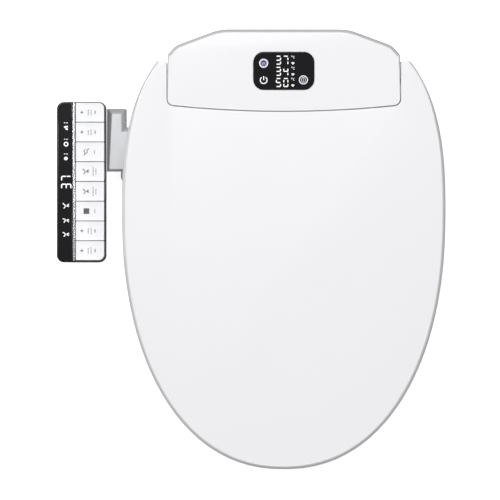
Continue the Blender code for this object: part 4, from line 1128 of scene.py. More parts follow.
def make_key(index, name):
    """A key cap with a soft edge and a top that is dished along its length."""
    low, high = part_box(name)
    big = CASE_CORNER - CASE_WALL
    radii = [0.8 * MM] * 4
    if index == 0:
        radii[1] = big
    if index == len(KEYS) - 1:
        radii[0] = big
    outline = rectangle(low[:2], high[:2], radii, 10)
    rings = [level(inset(outline, 0.2 * MM), low[2]), level(outline, low[2] + 0.3 * MM)]
    rings += [level(inset(outline, i), high[2] - d) for i, d in quarter(0.55 * MM, 5)]
    for moved, share in ((1.6 * MM, 0.35), (3.0 * MM, 0.8), (5.0 * MM, 1.0)):
        scale_x = 1 - moved / ((high[0] - low[0]) / 2)
        scale_y = 1 - moved / ((high[1] - low[1]) / 2)
        centre_x, centre_y = (low[0] + high[0]) / 2, (low[1] + high[1]) / 2
        ring = [
            (centre_x + (x - centre_x) * scale_x, centre_y + (y - centre_y) * scale_y)
            for x, y in outline
        ]
        rings.append(level(ring, high[2] - KEY_DISH * share))
    finish_piece(name + "_cap", skin(rings), KEY_ABS, name, [name])
    return Vector(low), Vector(high)


def dashes(x, y, length, seed):
    """Short bars in a row along Y that stand in for a printed word."""
    random = np.random.default_rng(seed)
    strokes, at = [], -length / 2
    while at < length / 2 - 0.6 * MM:
        run = random.uniform(0.7, 1.5) * MM
        end = min(at + run, length / 2)
        strokes.append(([(x, y + at), (x, y + end)], 0.9 * MM))
        at = end + 0.5 * MM
    return strokes


def plus(x, y, size):
    half = size / 2
    return [([(x - half, y), (x + half, y)], 0.9 * MM), ([(x, y - half), (x, y + half)], 0.9 * MM)]


def make_key_signs():
    for index, name in enumerate(KEYS):
        low, high = make_key(index, name)
        left, y = low.x, (low.y + high.y) / 2
        signs = []
        if index in (0, 1, 6, 7):
            signs += plus(left + 7.0 * MM, y, 3.6 * MM)
            signs += dashes(left + 14.3 * MM, y, 6.4 * MM, index + 1)
            signs += dashes(left + 17.6 * MM, y, 7.4 * MM, index + 11)
            signs.append(([(left + 22.2 * MM, y - 2.0 * MM), (left + 22.2 * MM, y + 2.0 * MM)], MM))
        elif name == "dry_key":
            for step, side in enumerate((-1, 1)):
                place = (left + (10.0 + 3.0 * step) * MM, y + side * 0.6 * MM)
                bend = wave(place, 7.5 * MM, 0.7 * MM, 1.5, math.radians(90 - 25 * step))
                signs.append((bend, 0.9 * MM))
            signs += dashes(left + 21.6 * MM, y, 4.2 * MM, 21)
        elif name == "stop_key":
            signs.append(([(left + 12.2 * MM, y - 3.3 * MM), (left + 12.2 * MM, y + 3.3 * MM)],
                          6.6 * MM))
            signs += dashes(left + 22.0 * MM, y, 4.8 * MM, 22)
        else:
            lean = 0.8 if name == "front_wash_key" else 0.0
            signs += jet(left + 11.5 * MM, y, lean)
            signs += dashes(left + 20.0 * MM, y, 10.5 * MM, index + 31)
            signs += dashes(left + 23.2 * MM, y, 7.0 * MM, index + 41)
        top = high.z - KEY_DISH
        marks(name + "_print", signs, flat(top), GREY_INK, name)


make_key_signs()


# %% [markdown]
# ## The panel's arm
# The panel hangs on a flat arm that runs under the lid to the side of the housing. It is a
# low box moulding: its rear and inner sides slope away, and the lobe in front has a thin
# rounded rim. The outline is one loop again, and how far each point moves inwards on its way
# up to the top decides whether that side stands straight or slopes.


# %% Skin the arm
def make_arm():
    low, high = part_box("panel_arm")
    left, right = low[0], high[0]
    rear, step_y = CASE_HIGH[1] - 7.5 * MM, CASE_HIGH[1] - 29.2 * MM
    front = CASE_HIGH[1] - 80.4 * MM
    block_right, lobe_left = CASE_HIGH[0] + 23.2 * MM, CASE_HIGH[0] + 16.4 * MM
    corners = [
        (left, front),
        (lobe_left, front),
        (lobe_left, low[1]),
        (right - 6 * MM, low[1]),
        (right - 6 * MM, TRAY_LOW[1]),
        (right, TRAY_LOW[1]),
        (right, high[1]),
        (right - 20 * MM, high[1]),
        (right - 20 * MM, step_y),
        (block_right, step_y),
        (block_right, rear),
        (left, rear),
    ]
    radii = [0, 0, 7 * MM, 5 * MM, 0, 0, 1 * MM, 3 * MM, 0, 0, 2 * MM, 0]
    outline = rounded(corners, radii, 8)
    points = np.array(outline)
    behind = (points[:, 0] < block_right + 0.1 * MM) & (points[:, 1] > step_y - 0.1 * MM)
    lobe = (points[:, 0] < right - 7 * MM) & (points[:, 1] < front + 0.1 * MM)
    band = np.where(behind, 5.6 * MM, np.where(lobe, 2.4 * MM, 0.0))
    fall = np.where(behind, 13 * MM, np.where(lobe, 8 * MM, 0.0))
    radius = 1.2 * MM

    def ring(moved, drop):
        return [(x, y, high[2] - d) for (x, y), d in zip(inset(outline, moved), drop)]

    rings = [level(inset(outline, i), low[2] + d) for i, d in reversed(quarter(2.5 * MM, 4))]
    rings.append(ring(0, radius + fall))
    for angle in np.radians(np.linspace(15, 90, 6)):
        drop = np.full(len(outline), radius * (1 - math.sin(angle)))
        rings.append(ring(band + radius * (1 - math.cos(angle)), drop))
    finish_piece("arm_shell", skin(rings), SATIN_ABS, "housing", ["panel_arm"])


TRAY_LOW, TRAY_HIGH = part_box("base_tray")
make_arm()

# %% [markdown]
# ## The seat ring
# The seat is a hollow ring, open below and closed with a flat base plate. People sit on it,
# so every edge is broad and the top dips slightly between its rims. A ring like this is
# easiest to describe by rays: 192 directions from the middle of the opening meet the outer
# outline and the opening, and each profile point is a pair of matching loops.

# %% Outlines along rays
SEAT_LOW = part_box("seat_top")[0]
RAYS = 192
SEAT_INSET = 5.5 * MM
SEAT_REAR_Y = HINGE.y - 44 * MM
SEAT_CORNER = 25 * MM
SEAT_FRONT_Z = 33 * MM
ARCH_RISE = 23 * MM
ARCH_START_Y = HINGE.y - 156 * MM
ARCH_END_Y = HINGE.y - 132 * MM
SEAT_WALL = 3 * MM
OPENING_REAR_Y = HINGE.y - 98 * MM
OPENING_FRONT_Y = LID_LOW[1] + SEAT_INSET + 72 * MM
OPENING_HALF_WIDTH = LID_HALF_WIDTH - SEAT_INSET - 76 * MM
SEAT_CENTRE_Y = (OPENING_REAR_Y + OPENING_FRONT_Y) / 2
OPENING_POWER = 0.93


def seat_outline():
    width, front = LID_HALF_WIDTH - SEAT_INSET, FRONT_LENGTH - SEAT_INSET
    rear = REAR_LENGTH - SEAT_INSET
    curve = half_curve(width, front, rear, 120)
    half = [point for point in curve if point[1] < SEAT_REAR_Y - 1.3 * SEAT_CORNER]
    corner = (half_width(SEAT_REAR_Y, width, front, rear), SEAT_REAR_Y)
    half += rounded([half[-1], corner, (0, SEAT_REAR_Y)], [0, SEAT_CORNER, 0], 12)[1:]
    return both_sides(half)


def by_rays(outline):
    points = np.array(outline) - (0.0, SEAT_CENTRE_Y)
    shares = np.linspace(0, 1, 40, endpoint=False)[:, None, None]
    dense = (points + (np.roll(points, -1, axis=0) - points) * shares).reshape(-1, 2)
    reach = np.hypot(dense[:, 0], dense[:, 1])
    angles = 2 * math.pi * (np.arange(RAYS) + 0.5) / RAYS
    radii = np.interp(angles, np.arctan2(dense[:, 1], dense[:, 0]), reach, period=2 * math.pi)
    return [(r * math.cos(a), SEAT_CENTRE_Y + r * math.sin(a)) for a, r in zip(angles, radii)]


def signed_power(value, power):
    return math.copysign(abs(value) ** power, value)


def opening(margin=0.0):
    length = (OPENING_REAR_Y - OPENING_FRONT_Y) / 2
    points = []
    for turn in 2 * math.pi * np.arange(256) / 256:
        x = (OPENING_HALF_WIDTH + margin) * signed_power(math.cos(turn), OPENING_POWER)
        y = (length + margin) * signed_power(math.sin(turn), OPENING_POWER)
        points.append((x, SEAT_CENTRE_Y + y))
    return by_rays(points)


def part_way(outer, inner, share):
    return [(a[0] + (b[0] - a[0]) * share, a[1] + (b[1] - a[1]) * share)
            for a, b in zip(outer, inner)]


def ring_top(drop):
    return lambda y: SEAT_FRONT_Z + SEAT_SLOPE * (y - LID_LOW[1] - SEAT_INSET) - drop


def ring_foot(lift):
    """The underside: flat on the bowl, and arched at the rear to leave room for the arm."""
    def height(y):
        share = min(max((y - ARCH_START_Y) / (ARCH_END_Y - ARCH_START_Y), 0), 1)
        return SEAT_LOW[2] + ARCH_RISE * share + lift
    return height


# %% Skin the seat ring
def hinge_ear(x_low, x_high):
    """The bracket from inside the ring up to the hinge line, with softened edges."""
    profile = [(SEAT_REAR_Y - 24 * MM, 52 * MM), (SEAT_REAR_Y - 24 * MM, 40 * MM),
               (SEAT_REAR_Y - 12 * MM, 40 * MM)]
    for angle in np.radians(np.linspace(-50, 115, 25)):
        y, z = HINGE.y + LUG_RADIUS * math.cos(angle), HINGE.z + LUG_RADIUS * math.sin(angle)
        profile.append((y, z))
    soft = 0.7 * MM
    places = [(x_low, soft), (x_low + soft, 0), (x_high - soft, 0), (x_high, soft)]
    return skin([[(x, y, z) for y, z in inset(profile, moved)] for x, moved in places])


def make_seat():
    outline = seat_outline()
    edge = 8 * MM
    outer, inner = by_rays(outline), opening()
    soft = 0.9 * MM
    rings = [level(by_rays(inset(outline, soft)), ring_foot(0)), level(outer, ring_foot(soft))]
    for angle in np.radians(np.linspace(0, 90, 8)):
        moved = by_rays(inset(outline, edge * (1 - math.cos(angle))))
        rings.append(level(moved, ring_top(edge * (1 - math.sin(angle)))))
    outer_top, inner_top = by_rays(inset(outline, edge)), opening(edge)
    for share in np.linspace(0.1, 0.9, 9):
        drop = 1.5 * MM * share + 0.9 * MM * math.sin(math.pi * share)
        rings.append(level(part_way(outer_top, inner_top, share), ring_top(drop)))
    for angle in np.radians(np.linspace(90, 0, 8)):
        drop = 1.5 * MM + edge * (1 - math.sin(angle))
        rings.append(level(opening(edge * (1 - math.cos(angle))), ring_top(drop)))
    rings += [level(inner, ring_foot(soft)), level(opening(soft), ring_foot(0))]
    rings.append(level(opening(SEAT_WALL), ring_foot(0)))
    rings.append(level(opening(SEAT_WALL), ring_top(9.5 * MM)))
    rings.append(level(inner_top, ring_top(1.5 * MM + SEAT_WALL)))
    rings.append(level(outer_top, ring_top(SEAT_WALL)))
    wall = by_rays(inset(outline, SEAT_WALL))
    rings += [level(wall, ring_top(edge)), level(wall, ring_foot(0))]
    first = COVER_HALF_WIDTH + 2 * LUG_GAP
    tools = []
    for side in (-1, 1):
        ends = sorted((side * first, side * (first + SEAT_LUG)))
        tools.append(("UNION", hinge_ear(*ends)))
        tools.append(("DIFFERENCE", pin_bore(*ends)))
    bm = carve(skin(rings, closed=True), tools)
    print("seat ring faces:", len(bm.faces))
    finish_piece("seat_ring", bm, GLOSS_ABS, "seat", ["seat_top"])


make_seat()

# %% [markdown]
# ## The seat's base plate and its screws
# The base plate closes the ring from below and is held by cross-head screws in round
# recesses. Screws repeat, so Geometry Nodes sets them: one head, a cone cut by two crossed
# bars, is instanced on every point that it is given. The same tree serves the tray and the
# panel.


# %% A tree that sets screws
def screw_tree():
    tree, given = start_tree("screws", ("Head radius", "Head height", "Cross width"), "Screws")
    smaller = calculate(tree, "MULTIPLY", given["Head radius"], 0.72)
    head = add_node(
        tree,
        "GeometryNodeMeshCone",
        [
            ("Vertices", 32),
            ("Radius Top", smaller),
            ("Radius Bottom", given["Head radius"]),
            ("Depth", given["Head height"]),
        ],
    )
    cutters = []
    long = calculate(tree, "MULTIPLY", given["Head radius"], 1.1)
    for first, second in ((long, given["Cross width"]), (given["Cross width"], long)):
        size = add_node(
            tree, "ShaderNodeCombineXYZ", [("X", first), ("Y", second), ("Z", given["Head height"])]
        )
        bar = add_node(tree, "GeometryNodeMeshCube", [("Size", size.outputs[0])])
        up = add_node(tree, "ShaderNodeCombineXYZ", [("Z", given["Head height"])])
        raised = add_node(
            tree,
            "GeometryNodeTransform",
            [("Geometry", bar.outputs["Mesh"]), ("Translation", up.outputs[0])],
        )
        cutters.append(raised.outputs[0])
    cut = add_node(
        tree, "GeometryNodeMeshBoolean", [("Mesh 1", head.outputs["Mesh"])], operation="DIFFERENCE"
    )
    for cutter in cutters:
        tree.links.new(cutter, cut.inputs["Mesh 2"])
    return set_on_points(tree, given, cut.outputs["Mesh"], "Screws")


SCREWS = screw_tree()


def set_screws(name, points, body, radius=3.6 * MM):
    """Screws whose heads look down, each turned a little differently."""
    turns = [(math.pi, 0, 0.7 * index) for index in range(len(points))]
    values = {"Head radius": radius, "Head height": 1.4 * MM, "Cross width": 0.9 * MM,
              "Material": STAINLESS}
    return settle(grow(name, SCREWS, points, turns, values), body)


# %% Skin the base plate
def make_seat_base():
    outline = seat_outline()
    margin = SEAT_WALL + 0.4 * MM
    outer, inner = by_rays(inset(outline, margin)), opening(margin)
    outer_soft, inner_soft = by_rays(inset(outline, margin + 0.4 * MM)), opening(margin + 0.4 * MM)
    rings = [level(outer, ring_foot(0.6 * MM)), level(outer_soft, ring_foot(0.2 * MM))]
    rings += [level(part_way(outer_soft, inner_soft, s), ring_foot(0.2 * MM))
              for s in (0.25, 0.5, 0.75)]
    rings += [level(inner_soft, ring_foot(0.2 * MM)), level(inner, ring_foot(0.6 * MM))]
    rings += [level(part_way(inner, outer, s), ring_foot(2.2 * MM)) for s in (0, 0.33, 0.67, 1)]
    middle = part_way(outer, inner, 0.5)
    wanted = [(x, y) for x, y in middle[::16] if y < ARCH_START_Y - 6 * MM or y > ARCH_END_Y]
    feet = [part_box(f"seat_bumper_{end}_{hand}") for end in ("front", "rear")
            for hand in ("left", "right")]
    clear = []
    for x, y in wanted:
        near = min(math.hypot(x - (a[0] + b[0]) / 2, y - (a[1] + b[1]) / 2) for a, b in feet)
        if near > 18 * MM:
            clear.append((x, y, ring_foot(0.9 * MM)(y)))
    tools = []
    for x, y, z in clear:
        recess = turned([(5.2 * MM, 0), (5.2 * MM, 3 * MM)], 32, (x, y, z - 2.4 * MM))
        tools.append(("DIFFERENCE", recess))
    bm = carve(skin(rings, closed=True), tools)
    finish_piece("seat_base_plate", bm, SATIN_ABS, "seat", ["seat_base"])
    set_screws("seat_screws", clear, "seat")
    print("seat screws:", len(clear))


make_seat_base()

# %% [markdown]
# ## The base tray
# The tray carries everything inside the housing. Its outline is the cover's, set in a
# little. Two round ports in its front wall let the wands out, a flat mouth lets out warm
# air, and the side wall takes the water, the mains lead and the release button. The fan draws
# air through slots in the floor. The slots come from the bars tree, used here as a cutter.

# %% Skin and cut the tray
NOZZLE_SLOPE = math.radians(16)
NOZZLE_BACK = Vector((0, math.cos(NOZZLE_SLOPE), math.sin(NOZZLE_SLOPE)))
INLET_LOW, INLET_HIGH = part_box("water_inlet")
GLAND_LOW, GLAND_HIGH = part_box("power_gland")
BUTTON_LOW, BUTTON_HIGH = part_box("release_button")
DUCT_LOW, DUCT_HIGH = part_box("dryer_duct")
FAN_LOW, FAN_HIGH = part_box("dryer_fan")


def nozzle_point(name, back=0.0):
    """A point on a nozzle's axis, this far behind its front end."""
    low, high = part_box(f"{name}_nozzle_tip")
    front = Vector(((low[0] + high[0]) / 2, TRAY_LOW[1] - 2 * MM, TRAY_LOW[2] + 9.5 * MM))
    return front + NOZZLE_BACK * back


def side_middle(low, high):
    return (low[1] + high[1]) / 2, (low[2] + high[2]) / 2


def make_tray():
    outline = [(x, max(y, TRAY_LOW[1])) for x, y in inset(cover_outline(), 1.2 * MM)]
    wall = 2.5 * MM
    low, high = TRAY_LOW[2], TRAY_HIGH[2]
    inner = [(x, max(y, TRAY_LOW[1] + wall)) for x, y in inset(cover_outline(), 1.2 * MM + wall)]
    rings = [level(inset(outline, i), low + d) for i, d in reversed(quarter(3 * MM, 5))]
    rings += [level(outline, high - 0.4 * MM), level(inset(outline, 0.3 * MM), high)]
    rings += [level(inner, high), level(inner, low + wall)]
    tools = []
    for name in ("rear_wash", "front_wash"):
        place = nozzle_point(name, -8 * MM)
        tools.append(("DIFFERENCE", turned([(5.6 * MM, 0), (5.6 * MM, 22 * MM)], 48, place,
                                           NOZZLE_BACK)))
    gap = 0.3 * MM
    mouth_low = (DUCT_LOW[0] - gap, TRAY_LOW[1] - MM, DUCT_LOW[2] - gap)
    mouth_high = (DUCT_HIGH[0] + gap, TRAY_LOW[1] + wall + MM, DUCT_HIGH[2] + gap)
    tools.append(("DIFFERENCE", block(mouth_low, mouth_high, 0.3 * MM, 0.2 * MM, 3)))
    for side_low, side_high in ((INLET_LOW, INLET_HIGH), (GLAND_LOW, GLAND_HIGH),
                                (BUTTON_LOW, BUTTON_HIGH)):
        y, z = side_middle(side_low, side_high)
        radius = (side_high[2] - side_low[2]) / 2 + gap
        place = (TRAY_HIGH[0] - 5 * MM, y, z)
        tools.append(("DIFFERENCE", turned([(radius, 0), (radius, 8 * MM)], 48, place, "X")))
    fan_x, fan_y = (FAN_LOW[0] + FAN_HIGH[0]) / 2, (FAN_LOW[1] + FAN_HIGH[1]) / 2
    rows = range(-3, 4)
    points = [(fan_x, fan_y + row * 4.2 * MM, low) for row in rows]
    values = {"Length": 24 * MM, "Width": 1.9 * MM, "Height": 9 * MM, "Material": SATIN_ABS}
    cutter = grow("vent_slots", SEGMENTS, points, [(0, 0, 0)] * len(points), values)
    vents = bmesh.new()
    vents.from_mesh(cutter.data)
    bpy.data.objects.remove(cutter)
    tools.append(("DIFFERENCE", vents))
    bm = carve(skin(rings), tools)
    finish_piece("tray_shell", bm, SATIN_ABS, "housing", ["base_tray"])
    places = [(side * 121 * MM, y) for side in (-1, 1) for y in (-26 * MM, 12 * MM)]
    places += [(side * 44 * MM, 39 * MM) for side in (-1, 1)]
    set_screws("tray_screws", [(x, y, low - 0.3 * MM) for x, y in places], "housing")
    corners = [(x, y) for x in (CASE_LOW[0] + 9 * MM, CASE_HIGH[0] - 9 * MM)
               for y in (CASE_LOW[1] + 12 * MM, CASE_HIGH[1] - 12 * MM)]
    set_screws("panel_screws", [(x, y, CASE_LOW[2] + 0.2 * MM) for x, y in corners], "housing",
               2.8 * MM)


make_tray()

# %% [markdown]
# ## Nozzles, hood and dryer flap
# Each wand is a polished steel tube with a white nose, and the nose is drilled with fine
# spray holes. A small hood keeps splashes off the ports. The flap in front of the warm-air
# mouth hangs on its upper edge and carries three shallow grooves.


# %% Turn the nozzles
def make_nozzle(name):
    body = f"{name}_nozzle"
    nose = [(0, 0), (2.9 * MM, 0.05 * MM), (3.7 * MM, 0.5 * MM), (4.25 * MM, 1.5 * MM)]
    nose += [(4.6 * MM, 4 * MM), (4.9 * MM, 8 * MM), (5 * MM, 11 * MM), (5 * MM, 13.6 * MM)]
    nose += [(4.8 * MM, 13.9 * MM), (0, 13.9 * MM)]
    tools = []
    up = Vector((0, -math.sin(NOZZLE_SLOPE), math.cos(NOZZLE_SLOPE)))
    if name == "rear_wash":
        holes = [(0, 3.4), (0, 5.2), (0, 7.0)]
    else:
        holes = [(-0.9, 4.4), (0.9, 4.4), (-0.9, 6.4), (0.9, 6.4), (0, 5.4)]
    for across, back in holes:
        place = nozzle_point(name, back * MM) + Vector((across * MM, 0, 0)) + up * 3 * MM
        drill = turned([(0.45 * MM, 0), (0.45 * MM, 4 * MM)], 16, place, up)
        tools.append(("DIFFERENCE", drill))
    bm = carve(turned(nose, 48, nozzle_point(name), NOZZLE_BACK), tools)
    finish_piece(f"{name}_nose", bm, GLOSS_ABS, body, [f"{name}_nozzle_tip"])
    tube = [(0, 14.2 * MM), (4.6 * MM, 14.2 * MM), (5 * MM, 14.6 * MM), (5 * MM, 17 * MM)]
    tube += [(4.7 * MM, 17.3 * MM), (4.7 * MM, 18.3 * MM), (5 * MM, 18.6 * MM)]
    tube += [(5 * MM, 81.4 * MM), (4.5 * MM, 82 * MM), (0, 82 * MM)]
    finish_piece(f"{name}_tube", turned(tube, 48, nozzle_point(name), NOZZLE_BACK), STAINLESS,
                 body, [f"{name}_nozzle_wand"])


for name in ("rear_wash", "front_wash"):
    make_nozzle(name)


# %% Hood and flap
def front_block(low, high, corner, edge):
    """A block whose rounded outline faces the front."""
    bm = block((low[0], low[2], -high[1]), (high[0], high[2], -low[1]), corner, edge)
    bm.transform(Matrix.Rotation(math.pi / 2, 4, "X"))
    return bm


def make_hood():
    low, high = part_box("nozzle_hood")
    outline = rectangle(low[:2], high[:2], [3 * MM, 0.4 * MM, 0.4 * MM, 3 * MM], 8)
    rings = [level(inset(outline, 0.5 * MM), low[2]), level(outline, low[2] + 0.5 * MM)]
    rings += [level(inset(outline, i), high[2] - d) for i, d in quarter(1.1 * MM, 5)]
    finish_piece("splash_hood", skin(rings), SATIN_ABS, "housing", ["nozzle_hood"])


def make_flap():
    low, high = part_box("dryer_flap")
    bm = front_block(low, high, 2.2 * MM, 0.5 * MM)
    tools = []
    for row in (-1, 0, 1):
        z = (low[2] + high[2]) / 2 + row * 3.6 * MM
        groove = front_block((low[0] + 3 * MM, low[1] - MM, z - 0.5 * MM),
                             (high[0] - 3 * MM, low[1] + 0.6 * MM, z + 0.5 * MM),
                             0.4 * MM, 0.15 * MM)
        tools.append(("DIFFERENCE", groove))
    finish_piece("warm_air_flap", carve(bm, tools), SATIN_ABS, "flap", ["dryer_flap"])


make_hood()
make_flap()

# %% [markdown]
# ## Threads
# The brass inlet and the steel bolts carry real threads. A thread is a small triangle swept
# along a helix, which Geometry Nodes does with a spiral curve, a three-sided profile and
# Curve to Mesh. The pitch is drawn at 1.5 mm on the bolts and 1.8 mm on the inlet, a little
# coarser than on the real ones, so that it still reads in a small view.


# %% A tree that sweeps a thread
def thread_tree():
    tree, given = start_tree("thread", ("Radius", "Pitch", "Turns", "Depth"), "Thread")
    tall = calculate(tree, "MULTIPLY", given["Pitch"], given["Turns"])
    helix = add_node(
        tree,
        "GeometryNodeCurveSpiral",
        [
            ("Resolution", 24),
            ("Rotations", given["Turns"]),
            ("Start Radius", given["Radius"]),
            ("End Radius", given["Radius"]),
            ("Height", tall),
        ],
    )
    tooth = add_node(
        tree, "GeometryNodeCurvePrimitiveCircle", [("Resolution", 3), ("Radius", given["Depth"])]
    )
    swept = add_node(
        tree,
        "GeometryNodeCurveToMesh",
        [("Curve", helix.outputs[0]), ("Profile Curve", tooth.outputs[0]), ("Fill Caps", True)],
    )
    return set_on_points(tree, given, swept.outputs[0], "Thread")


THREAD = thread_tree()


# %% Side fittings
def make_side_fittings():
    y, z = side_middle(INLET_LOW, INLET_HIGH)
    radius = (INLET_HIGH[2] - INLET_LOW[2]) / 2
    tall = INLET_HIGH[0] - INLET_LOW[0]
    bore = 6 * MM
    profile = [(0, tall - 10 * MM), (bore, tall - 10 * MM), (bore, tall - 0.5 * MM)]
    profile += [(bore + 0.5 * MM, tall), (radius - 1.2 * MM, tall)]
    profile += [(radius - 0.6 * MM, tall - 0.8 * MM), (radius - 0.6 * MM, 12.6 * MM)]
    profile += [(radius, 12.0 * MM), (radius, 0.4 * MM), (radius - 0.4 * MM, 0), (0, 0)]
    bm = turned(profile, 64, (INLET_LOW[0], y, z), "X")
    finish_piece("inlet_stub", bm, BRASS, "housing", ["water_inlet"])
    values = {"Radius": radius - 0.65 * MM, "Pitch": 1.8 * MM, "Turns": 5.5, "Depth": 0.5 * MM,
              "Material": BRASS}
    start = [(INLET_LOW[0] + 14.2 * MM, y, z)]
    settle(grow("inlet_thread", THREAD, start, [(0, math.pi / 2, 0)], values, 20), "housing")

    y, z = side_middle(GLAND_LOW, GLAND_HIGH)
    tall = GLAND_HIGH[0] - GLAND_LOW[0]
    profile = [(0, 0), (5 * MM, 0), (5 * MM, 7.6 * MM)]
    for rib in range(3):
        at = (8.0 + 2.4 * rib) * MM
        wide = (4.8 - 0.22 * rib) * MM
        profile += [(wide - 0.7 * MM, at), (wide - 0.7 * MM, at + 0.9 * MM)]
        profile += [(wide, at + 1.1 * MM), (wide, at + 2.0 * MM)]
    profile += [(4.0 * MM, tall - 0.4 * MM), (3.6 * MM, tall), (2.8 * MM, tall)]
    profile += [(2.8 * MM, tall - 3 * MM), (0, tall - 3 * MM)]
    bm = turned(profile, 48, (GLAND_LOW[0], y, z), "X")
    finish_piece("mains_gland", bm, BLACK_NYLON, "housing", ["power_gland"])

    y, z = side_middle(BUTTON_LOW, BUTTON_HIGH)
    radius = (BUTTON_HIGH[2] - BUTTON_LOW[2]) / 2
    tall = BUTTON_HIGH[0] - BUTTON_LOW[0]
    profile = [(0, 0), (radius, 0), (radius, tall - 0.9 * MM)]
    profile += [(radius - 0.35 * MM, tall - 0.2 * MM), (radius - 0.9 * MM, tall)]
    profile += [(radius - 2.2 * MM, tall - 0.3 * MM), (0, tall - 0.6 * MM)]
    bm = turned(profile, 48, (BUTTON_LOW[0], y, z), "X")
    finish_piece("release_cap", bm, SATIN_ABS, "release", ["release_button"])


make_side_fittings()

# %% [markdown]
# ## Fixing hardware
# The seat slides onto a plate that two bolts clamp to the bowl: hexagon bolts in serrated
# adjusters, soft cone washers that centre them in the bowl's holes, and plastic nuts below.
# A hexagon with 48 points matches a circle with 48 points, so one skin runs from the round
# shank to the six-sided head.


# %% Plate and adjusters
def make_plate():
    low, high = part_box("mounting_plate")
    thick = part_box("bolt_adjuster_left")[1][2]
    bm = block(low, (high[0], high[1], thick), 7 * MM, 1.0 * MM, 8)
    tools = []
    for side in (-1, 1):
        ends = sorted((side * (high[0] - 3 * MM), side * (high[0] - 9 * MM)))
        rail_low = (ends[0], low[1] + 2 * MM, thick / 2)
        rail_high = (ends[1], high[1] - 2 * MM, high[2])
        tools.append(("UNION", block(rail_low, rail_high, 1.5 * MM, 0.6 * MM)))
    for hand in ("left", "right"):
        near, far = (Vector(v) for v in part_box(f"bolt_adjuster_{hand}"))
        gap = Vector((0.3 * MM, 0.3 * MM, 2 * MM))
        tools.append(("DIFFERENCE", block(near - gap, far + gap, 4.3 * MM, 0.2 * MM)))
    for x in (-34, 0, 34):
        for y in (-10, 16):
            cell_low = ((x - 15) * MM, (y - 11) * MM, -MM)
            cell_high = ((x + 15) * MM, (y + 11) * MM, thick - 2 * MM)
            tools.append(("DIFFERENCE", block(cell_low, cell_high, 2 * MM, 0.4 * MM)))
    finish_piece("fixing_plate", carve(bm, tools), SATIN_ABS, "housing", ["mounting_plate"])
    for hand in ("left", "right"):
        low, high = (Vector(v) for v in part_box(f"bolt_adjuster_{hand}"))
        middle = (low + high) / 2
        tools = [("DIFFERENCE", turned([(3.9 * MM, 0), (3.9 * MM, 10 * MM)], 48,
                                       (middle.x, middle.y, -2 * MM)))]
        for step in range(-5, 6):
            x = middle.x + step * 3.2 * MM
            for y in (low.y, high.y):
                notch_low = (x - 0.5 * MM, y - 0.9 * MM, high.z - 1.2 * MM)
                notch_high = (x + 0.5 * MM, y + 0.9 * MM, high.z + MM)
                tools.append(("DIFFERENCE", block(notch_low, notch_high, 0.3 * MM, 0.1 * MM, 2)))
        bm = carve(block(low, high, 4 * MM, 0.5 * MM), tools)
        finish_piece(f"serrated_adjuster_{hand}", bm, DARK_ABS, "housing",
                     [f"bolt_adjuster_{hand}"])


make_plate()


# %% Bolts, washers, nuts and hinge pins
def hexagon(centre, across_flats, most=1.0, sides=48):
    """A hexagon by rays. most cuts its corners to a circle, as a chamfer does."""
    points = []
    for step in range(sides):
        angle = 2 * math.pi * step / sides
        reach = across_flats / 2 / math.cos((angle + math.pi / 6) % (math.pi / 3) - math.pi / 6)
        reach = min(reach, most)
        points.append((centre[0] + reach * math.cos(angle), centre[1] + reach * math.sin(angle)))
    return points


def make_bolt(hand):
    low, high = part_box(f"fixing_bolt_{hand}")
    centre = ((low[0] + high[0]) / 2, (low[1] + high[1]) / 2)
    flats = high[0] - low[0]
    head = high[2] - 4.5 * MM
    radius = 3.5 * MM
    rings = [level(circle(centre, radius - 1.1 * MM), low[2])]
    rings += [level(circle(centre, radius - 0.5 * MM), z) for z in (low[2] + 0.8 * MM, -12 * MM)]
    rings += [level(circle(centre, radius), z) for z in (-11.4 * MM, head)]
    rings.append(level(hexagon(centre, flats, 0.49 * flats), head))
    rings.append(level(hexagon(centre, flats), head + 0.5 * MM))
    rings.append(level(hexagon(centre, flats), high[2] - 0.9 * MM))
    rings.append(level(hexagon(centre, flats, 0.5 * flats), high[2] - 0.15 * MM))
    rings.append(level(hexagon(centre, flats, 0.45 * flats), high[2]))
    finish_piece(f"hexagon_bolt_{hand}", skin(rings), STAINLESS, "housing",
                 [f"fixing_bolt_{hand}"], 25)
    values = {"Radius": radius - 0.5 * MM, "Pitch": 1.5 * MM, "Turns": 26.0, "Depth": 0.45 * MM,
              "Material": STAINLESS}
    start = [(*centre, low[2] + 1.5 * MM)]
    settle(grow(f"bolt_thread_{hand}", THREAD, start, [(0, 0, 0)], values, 20), "housing")


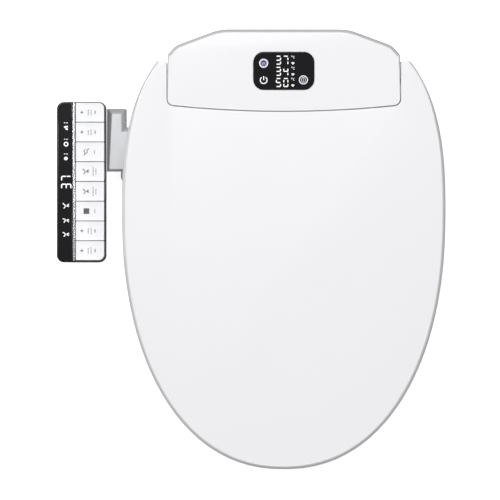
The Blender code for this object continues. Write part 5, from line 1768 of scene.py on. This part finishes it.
def make_washer(hand):
    low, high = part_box(f"cone_washer_{hand}")
    place = ((low[0] + high[0]) / 2, (low[1] + high[1]) / 2, low[2])
    wide, tall, bore = (high[0] - low[0]) / 2, high[2] - low[2], 3.9 * MM
    profile = [(bore, 0), (wide - 0.8 * MM, 0), (wide, 0.8 * MM), (wide, 2.6 * MM)]
    for rib in range(4):
        share = (rib + 0.5) / 4
        reach, at = wide - 5 * MM * share, 3.0 * MM + (tall - 4.4 * MM) * share
        profile += [(reach - 0.6 * MM, at - 0.9 * MM), (reach, at)]
        profile.append((reach - 0.5 * MM, at + 0.7 * MM))
    profile += [(wide - 5.4 * MM, tall - 0.6 * MM), (wide - 6 * MM, tall), (bore, tall), (bore, 0)]
    finish_piece(f"soft_cone_{hand}", turned(profile, 48, place), GREY_RUBBER, "housing",
                 [f"cone_washer_{hand}"])


def make_nut(hand):
    low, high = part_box(f"fixing_nut_{hand}")
    centre = ((low[0] + high[0]) / 2, (low[1] + high[1]) / 2)
    flats, bore = high[0] - low[0], 3.9 * MM
    rings = [
        level(hexagon(centre, flats, 0.5 * flats), low[2]),
        level(hexagon(centre, flats), low[2] + 1.0 * MM),
        level(hexagon(centre, flats), high[2] - 2.2 * MM),
        level(circle(centre, 0.5 * flats), high[2] - 1.4 * MM),
        level(circle(centre, 0.5 * flats), high[2] - 0.4 * MM),
        level(circle(centre, 0.48 * flats), high[2]),
        level(circle(centre, bore + 0.6 * MM), high[2]),
        level(circle(centre, bore), high[2] - 0.6 * MM),
        level(circle(centre, bore), low[2] + 0.6 * MM),
        level(circle(centre, bore + 0.6 * MM), low[2]),
    ]
    finish_piece(f"clamping_nut_{hand}", skin(rings, closed=True), SATIN_ABS, "housing",
                 [f"fixing_nut_{hand}"], 25)


def make_pin(hand):
    low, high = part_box(f"hinge_pin_{hand}")
    radius, tall, soft = (high[2] - low[2]) / 2, high[0] - low[0], 0.6 * MM
    profile = [(0, 0), (radius - soft, 0), (radius, soft), (radius, tall - soft)]
    profile += [(radius - soft, tall), (0, tall)]
    bm = turned(profile, 48, (low[0], HINGE.y, HINGE.z), "X")
    finish_piece(f"ground_pin_{hand}", bm, STAINLESS, "housing", [f"hinge_pin_{hand}"])


for hand in ("left", "right"):
    make_bolt(hand)
    make_washer(hand)
    make_nut(hand)
    make_pin(hand)
